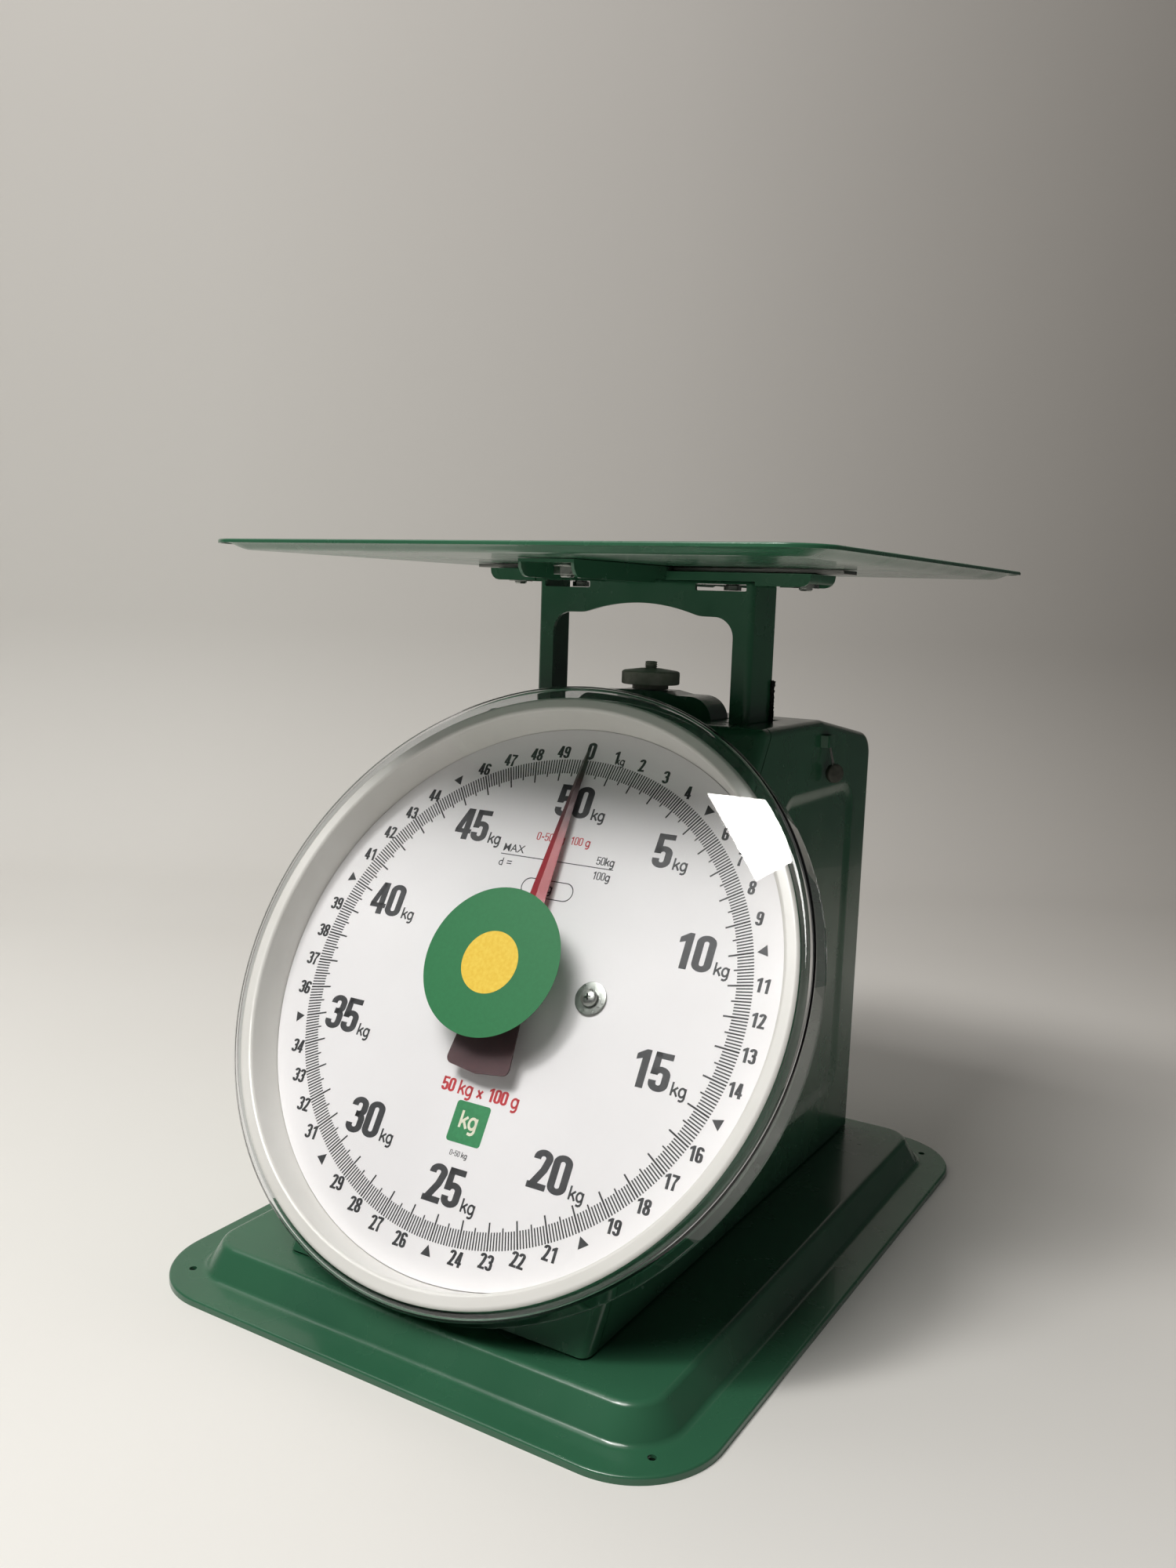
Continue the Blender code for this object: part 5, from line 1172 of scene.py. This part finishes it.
# Yoke: a folded channel with an arched window and two slots
def fold_yoke():
    half = YOKE_HALF
    near = LOAD_Y - 0.0125
    far = LOAD_Y + 0.0125
    piece = block("yoke_folding", (-half, near, 0.054), (half, far, YOKE_TOP))

    def folded(edge):
        a, b = edge.verts[0].co, edge.verts[1].co
        front = max(a.y, b.y) < near + 1e-5
        top = min(a.z, b.z) > YOKE_TOP - 1e-5
        upright = span(edge, 2) > 0.01
        return front and (top or upright) or top and span(edge, 0) < 1e-5
    choose("edges", folded)
    round_edges(0.003, 6)
    leave()
    sheet = 0.002
    inside = block("yoke_inside", (-half + sheet, near + sheet, 0.03),
                   (half - sheet, far + 0.01, YOKE_TOP - sheet))
    choose("edges", lambda edge: max(vert.co.y for vert in edge.verts) < near + 0.0021
           and span(edge, 2) > 0.01)
    round_edges(0.001, 3)
    leave()
    cut(piece, inside)
    inner = half - 0.009
    step = YOKE_TOP - 0.0166
    rise = 0.0052
    bow = (0.0297 ** 2 + rise ** 2) / (2 * rise)
    corner = 0.0093
    outline = [(inner, 0.04)] + bend((inner - corner, step - corner), corner, 0, 90, 12)
    for i in range(49):
        x = 0.036 * (1.0 - i / 24)
        lift = math.sqrt(bow * bow - x * x) - bow + rise
        outline.append((x, step + (lift + math.sqrt(lift * lift + 0.0006 ** 2)) / 2))
    outline += bend((-inner + corner, step - corner), corner, 90, 180, 12) + [(-inner, 0.04)]
    arch = flat_shape("yoke_arch", outline, height=0.012)
    stand(arch, near)
    cut(piece, arch)
    slots = []
    for sign in (-1, 1):
        first, last = sorted((sign * 0.0275, sign * 0.0525))
        slots.append(block("yoke_slot", (first, near - 0.01, 0.2935), (last, near + 0.004, 0.2965)))
        choose("edges", lambda edge: span(edge, 1) > 0.005)
        round_edges(0.0006, 3)
        leave()
    cut(piece, together("yoke_slots", slots))
    soften(piece, 0.0003, 2, 50.0)
    smooth(piece, 40.0)
    dress(piece, "platform", "green_enamel", "yoke")


# Inner frame: a strip bent over the case top with closed cheeks and a raised seat for the knob
def bend_frame():
    half = 0.0365
    foot = half + 0.018
    low = BASE_TOP + 0.0003
    shoulder = FRAME_TOP - 0.0014
    hump = [(half, shoulder), (0.0185, shoulder), (0.011, FRAME_TOP)]
    hump += [(-x, z) for x, z in reversed(hump)]
    bends = [0.011, 0.004, 0.004, 0.004, 0.004, 0.011]
    sheet = 0.003
    step = low + sheet
    outer = [(foot, step), (half, step)] + hump + [(-half, step), (-foot, step)]
    leg = half - sheet
    under = shoulder - sheet
    inner = [(-foot, low), (-leg, low), (-leg, under), (leg, under), (leg, low), (foot, low)]
    path = rounded(outer, [0, 0.001] + bends + [0.001, 0], 12, False)
    path += rounded(inner, (0, 0.003, 0.008, 0.008, 0.003, 0), 12, False)
    piece = flat_shape("frame_bending", path, height=0.018)
    stand(piece, LOAD_Y)
    hem = 0.2335
    cheek = [(x * 0.995, z - 0.0002) for x, z in [(half, hem)] + hump + [(-half, hem)]]
    for y in (-0.0078, 0.0078):
        plate = flat_shape("frame_cheek", rounded(cheek, [0] + bends + [0], 12), height=0.002)
        stand(plate, LOAD_Y + y)
        cut(piece, plate, "UNION")
    cut(piece, block("frame_window", (-0.07, LOAD_Y - 0.0055, 0.033), (0.07, LOAD_Y + 0.0055, 0.0675)))
    cut(piece, rod(0.0033, 0.02, (0.0, LOAD_Y, FRAME_TOP)))
    soften(piece, 0.0005, 3, 50.0)
    smooth(piece, 40.0)
    dress(piece, "base", "green_enamel", "main_frame")


# Springs: round wire along the hooks and open coils, in a lower and an upper half
def wind_springs():
    crossbar = 0.062
    hanger = 0.214
    low_hook = 0.0059
    high_hook = 0.0049
    coil = 0.008
    steps = 24
    total = 16 * steps
    low = crossbar + low_hook + coil
    high = hanger - high_hook - coil
    middle = (low + high) / 2
    for side, sign in SIDES:
        x = sign * 0.019
        points = [(x, y, z) for y, z in bend((0.0, crossbar), low_hook, 20, -180, 16)]
        for i in range(total + 1):
            angle = -math.pi / 2 + 2 * math.pi * i / steps
            rise = low + (high - low) * i / total
            points.append((x + coil * math.cos(angle), coil * math.sin(angle), rise))
        points += [(x, y, z) for y, z in bend((0.0, hanger), high_hook, 180, -20, 16)]
        split = points.index(min(points, key=lambda p: abs(p[2] - middle)))
        points = [(px, py + LOAD_Y, pz) for px, py, pz in points]
        halves = (("lower", points[:split + 1], "platform", low),
                  ("upper", points[split:], "spring_hanger", high))
        for half, run, body, hook in halves:
            piece = drawn("spring_%s_%s" % (half, side), [run], False, dimensions="3D", bevel_depth=0.0016,
                          bevel_resolution=3, use_fill_caps=True)
            mend(piece)
            bpy.ops.object.shade_smooth_by_angle(angle=math.radians(50.0))
            start()
            piece.data.materials.clear()
            piece.data.materials.append(STEEL)
            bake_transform(piece)
            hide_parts("spring_" + side)


# Foam wipers that close the slots round the yoke legs
def glue_wipers():
    for side, sign in SIDES:
        first, last = sorted((sign * 0.0564, sign * 0.0571))
        piece = block("leg_wiper_" + side, (first, LOAD_Y + 0.0112, CASE_TOP + 0.0002),
                      (last, LOAD_Y + 0.0130, 0.2535))
        select_all()
        bpy.ops.mesh.subdivide(number_cuts=11)
        bpy.ops.transform.vertex_random(offset=0.0010, seed=5)
        leave()
        smooth(piece, 60.0)
        dress(piece, "base", "dark_plating", looks=(BLACK_FOAM,))


# CAD pieces that keep their shape: a merged copy with rounded edges
def refine(node, slot, width, angle):
    source = frame["nodes"][node]
    piece = copy_of(source, node + "_finished")
    piece.parent = None
    for key in list(piece.keys()):
        del piece[key]
    take(piece)
    edit()
    select_all()
    bpy.ops.mesh.remove_doubles(threshold=MERGE)
    bpy.ops.mesh.dissolve_limited(angle_limit=math.radians(1.0))
    leave()
    soften(piece, width, 2, angle)
    smooth(piece, 40.0)
    dress(piece, source["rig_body"], slot, node)


press_base()
fold_pan()
form_case()
lance_seal()
turn_bowl()
cut_dial_sheet()
print_dial()
dial_fasteners()
bend_pointer()
mould_cover()
stick_label()
turn_knob()
fold_yoke()
bend_frame()
wind_springs()
glue_wipers()
refine("pan_cross", "green_enamel", 0.00035, 50.0)
for side in ("left", "right", "front", "rear"):
    refine("pan_nut_" + side, "zinc_plate", 0.00035, 40.0)
for side in ("left", "right"):
    refine("pan_strip_" + side, "steel", 0.0003, 50.0)
    refine("yoke_bolt_" + side, "zinc_plate", 0.0003, 40.0)

for node in frame["nodes"].values():
    for slot in node.material_slots:
        key = slot.material.name.split(".")[0] if slot.material else "steel"
        slot.material = FINISHES.get(key, STEEL)


# Paper sweep: pale floor that bends up into a warm grey wall, with painted shade that darkens it towards the
# top, the right and the back
def multiply(tree, first, second):
    """Two colours multiplied."""
    inputs = {0: 1.0, 6: first, 7: second}
    return add_node(tree, "ShaderNodeMix", inputs, data_type="RGBA", blend_type="MULTIPLY").outputs[2]


def reach_along(tree, place, direction):
    """How far a point lies along a level direction."""
    dot = add_node(tree, "ShaderNodeVectorMath", {0: place, 1: direction}, operation="DOT_PRODUCT")
    return dot.outputs["Value"]


SWEEP_PAINTED_SHADE, tree, shader, place = new_material("paper_sweep", Roughness=0.9)
spot = add_node(tree, "ShaderNodeSeparateXYZ", {"Vector": place})
# Painted shade: the wall darkens with height
lift = spread(tree, spot.outputs["Z"], from_min=0.0, from_max=1.6)
tone = tones(tree, lift, (0.0, "#EAE9E6"), (0.12, "#E3E2DF"), (0.5, "#D8D6D3"), (1.0, "#CECCC9"))
# Painted shade: darker from left to right, for light falling off away from the window
fall = spread(tree, reach_along(tree, place, (0.857, 0.515, 0.0)), from_min=-0.45, from_max=0.7)
tone = multiply(tree, tone, tones(tree, fall, (0.0, "#FFFFFE"), (0.45, "#F2F1F0"), (1.0, "#C4C1BE")))
# Painted shade: darker towards the back
painted_shade_back = spread(tree, reach_along(tree, place, (-0.515, 0.857, 0.0)), from_min=-0.25, from_max=0.5)
tone = multiply(tree, tone, tones(tree, painted_shade_back, (0.0, "#FFFFFF"), (1.0, "#E4E3E2")))
shade = spread(tree, noise(tree, place, 160, 3.0), to_min=0.0, to_max=0.08)
colour = add_node(tree, "ShaderNodeMix", {0: shade, 6: tone, 7: linear("#BFB9B0")}, data_type="RGBA")
feed(tree, shader, Base_Color=colour.outputs[2])


def hang_sweep():
    """A floor strip bent up into a wall behind the object, square to the camera."""
    bend_radius = 0.25
    back = 0.95
    path = [(0.0, -2.5, 0.0), (0.0, back - bend_radius, 0.0)]
    for i in range(1, 17):
        angle = math.pi / 2 * i / 16
        reach = back - bend_radius + bend_radius * math.sin(angle)
        path.append((0.0, reach, bend_radius * (1 - math.cos(angle))))
    path.append((0.0, back, 3.2))
    piece = trace("paper_sweep", path)
    bpy.ops.transform.translate(value=(-3.0, 0.0, 0.0))
    pull(3.75, 0.0, 0.0)
    close_up()
    look_along(piece, Vector((0.0, 0.0, 1.0)))
    put(piece, turn=(0.0, 0.0, math.radians(31.0)))
    bpy.ops.object.shade_smooth_by_angle(angle=math.radians(40.0))
    piece.data.materials.append(SWEEP_PAINTED_SHADE)


hang_sweep()


# Lights: a window-like key from the front left, a broad soft top light and a dim room
def lamp(name, place, target, power, wide, tall, colour, roll=0.0):
    data = bpy.data.lights.new(name, "AREA")
    data.shape = "RECTANGLE"
    data.size = wide
    data.size_y = tall
    data.energy = power
    data.color = linear(colour)[:3]
    light = bpy.data.objects.new(name, data)
    light.location = place
    facing = (Vector(target) - Vector(place)).to_track_quat("-Z", "Y")
    light.rotation_euler = (facing @ Quaternion((0.0, 0.0, 1.0), math.radians(roll))).to_euler()
    bpy.context.scene.collection.objects.link(light)


DIAL_TOP = (0.0, -0.05, 0.15)
lamp("window_key", (-0.58, -1.24, 2.0), DIAL_TOP, 19.0, 0.70, 0.24, "#FFFDFA", 56.0)
lamp("window_soft", (-0.16, -1.22, 2.25), DIAL_TOP, 36.0, 1.0, 0.95, "#FFFDFA")
lamp("ceiling_soft", (-0.9, 0.2, 2.3), (0.0, 0.1, 0.0), 20.0, 2.4, 2.0, "#FFFDFB")

world = bpy.data.worlds.new("dim_room")
bpy.context.scene.world = world
world.use_nodes = True
backing = world.node_tree.nodes["Background"]
backing.inputs["Color"].default_value = linear("#D6D6D6")
backing.inputs["Strength"].default_value = 0.07

# Camera at the photograph's place
azimuth = math.radians(31.013)
elevation = math.radians(8.011)
roll = math.radians(1.914)
right = Vector((math.cos(azimuth), math.sin(azimuth), 0.0))
level = math.cos(elevation)
back = Vector((math.sin(azimuth) * level, -math.cos(azimuth) * level, math.sin(elevation)))
up = back.cross(right)
turned_right = right * math.cos(roll) + up * math.sin(roll)
turned_up = up * math.cos(roll) - right * math.sin(roll)
view = bpy.data.cameras.new("photo_camera")
view.lens = 30.045
view.sensor_width = 36.0
view.clip_start = 0.01
camera = bpy.data.objects.new("photo_camera", view)
axes = Matrix((turned_right, turned_up, back)).transposed()
camera.matrix_world = Matrix.LocRotScale(Vector((0.29342, -0.51094, 0.28767)), axes, None)
bpy.context.scene.collection.objects.link(camera)
bpy.context.scene.camera = camera
bpy.context.scene.view_settings.view_transform = "Standard"

start()
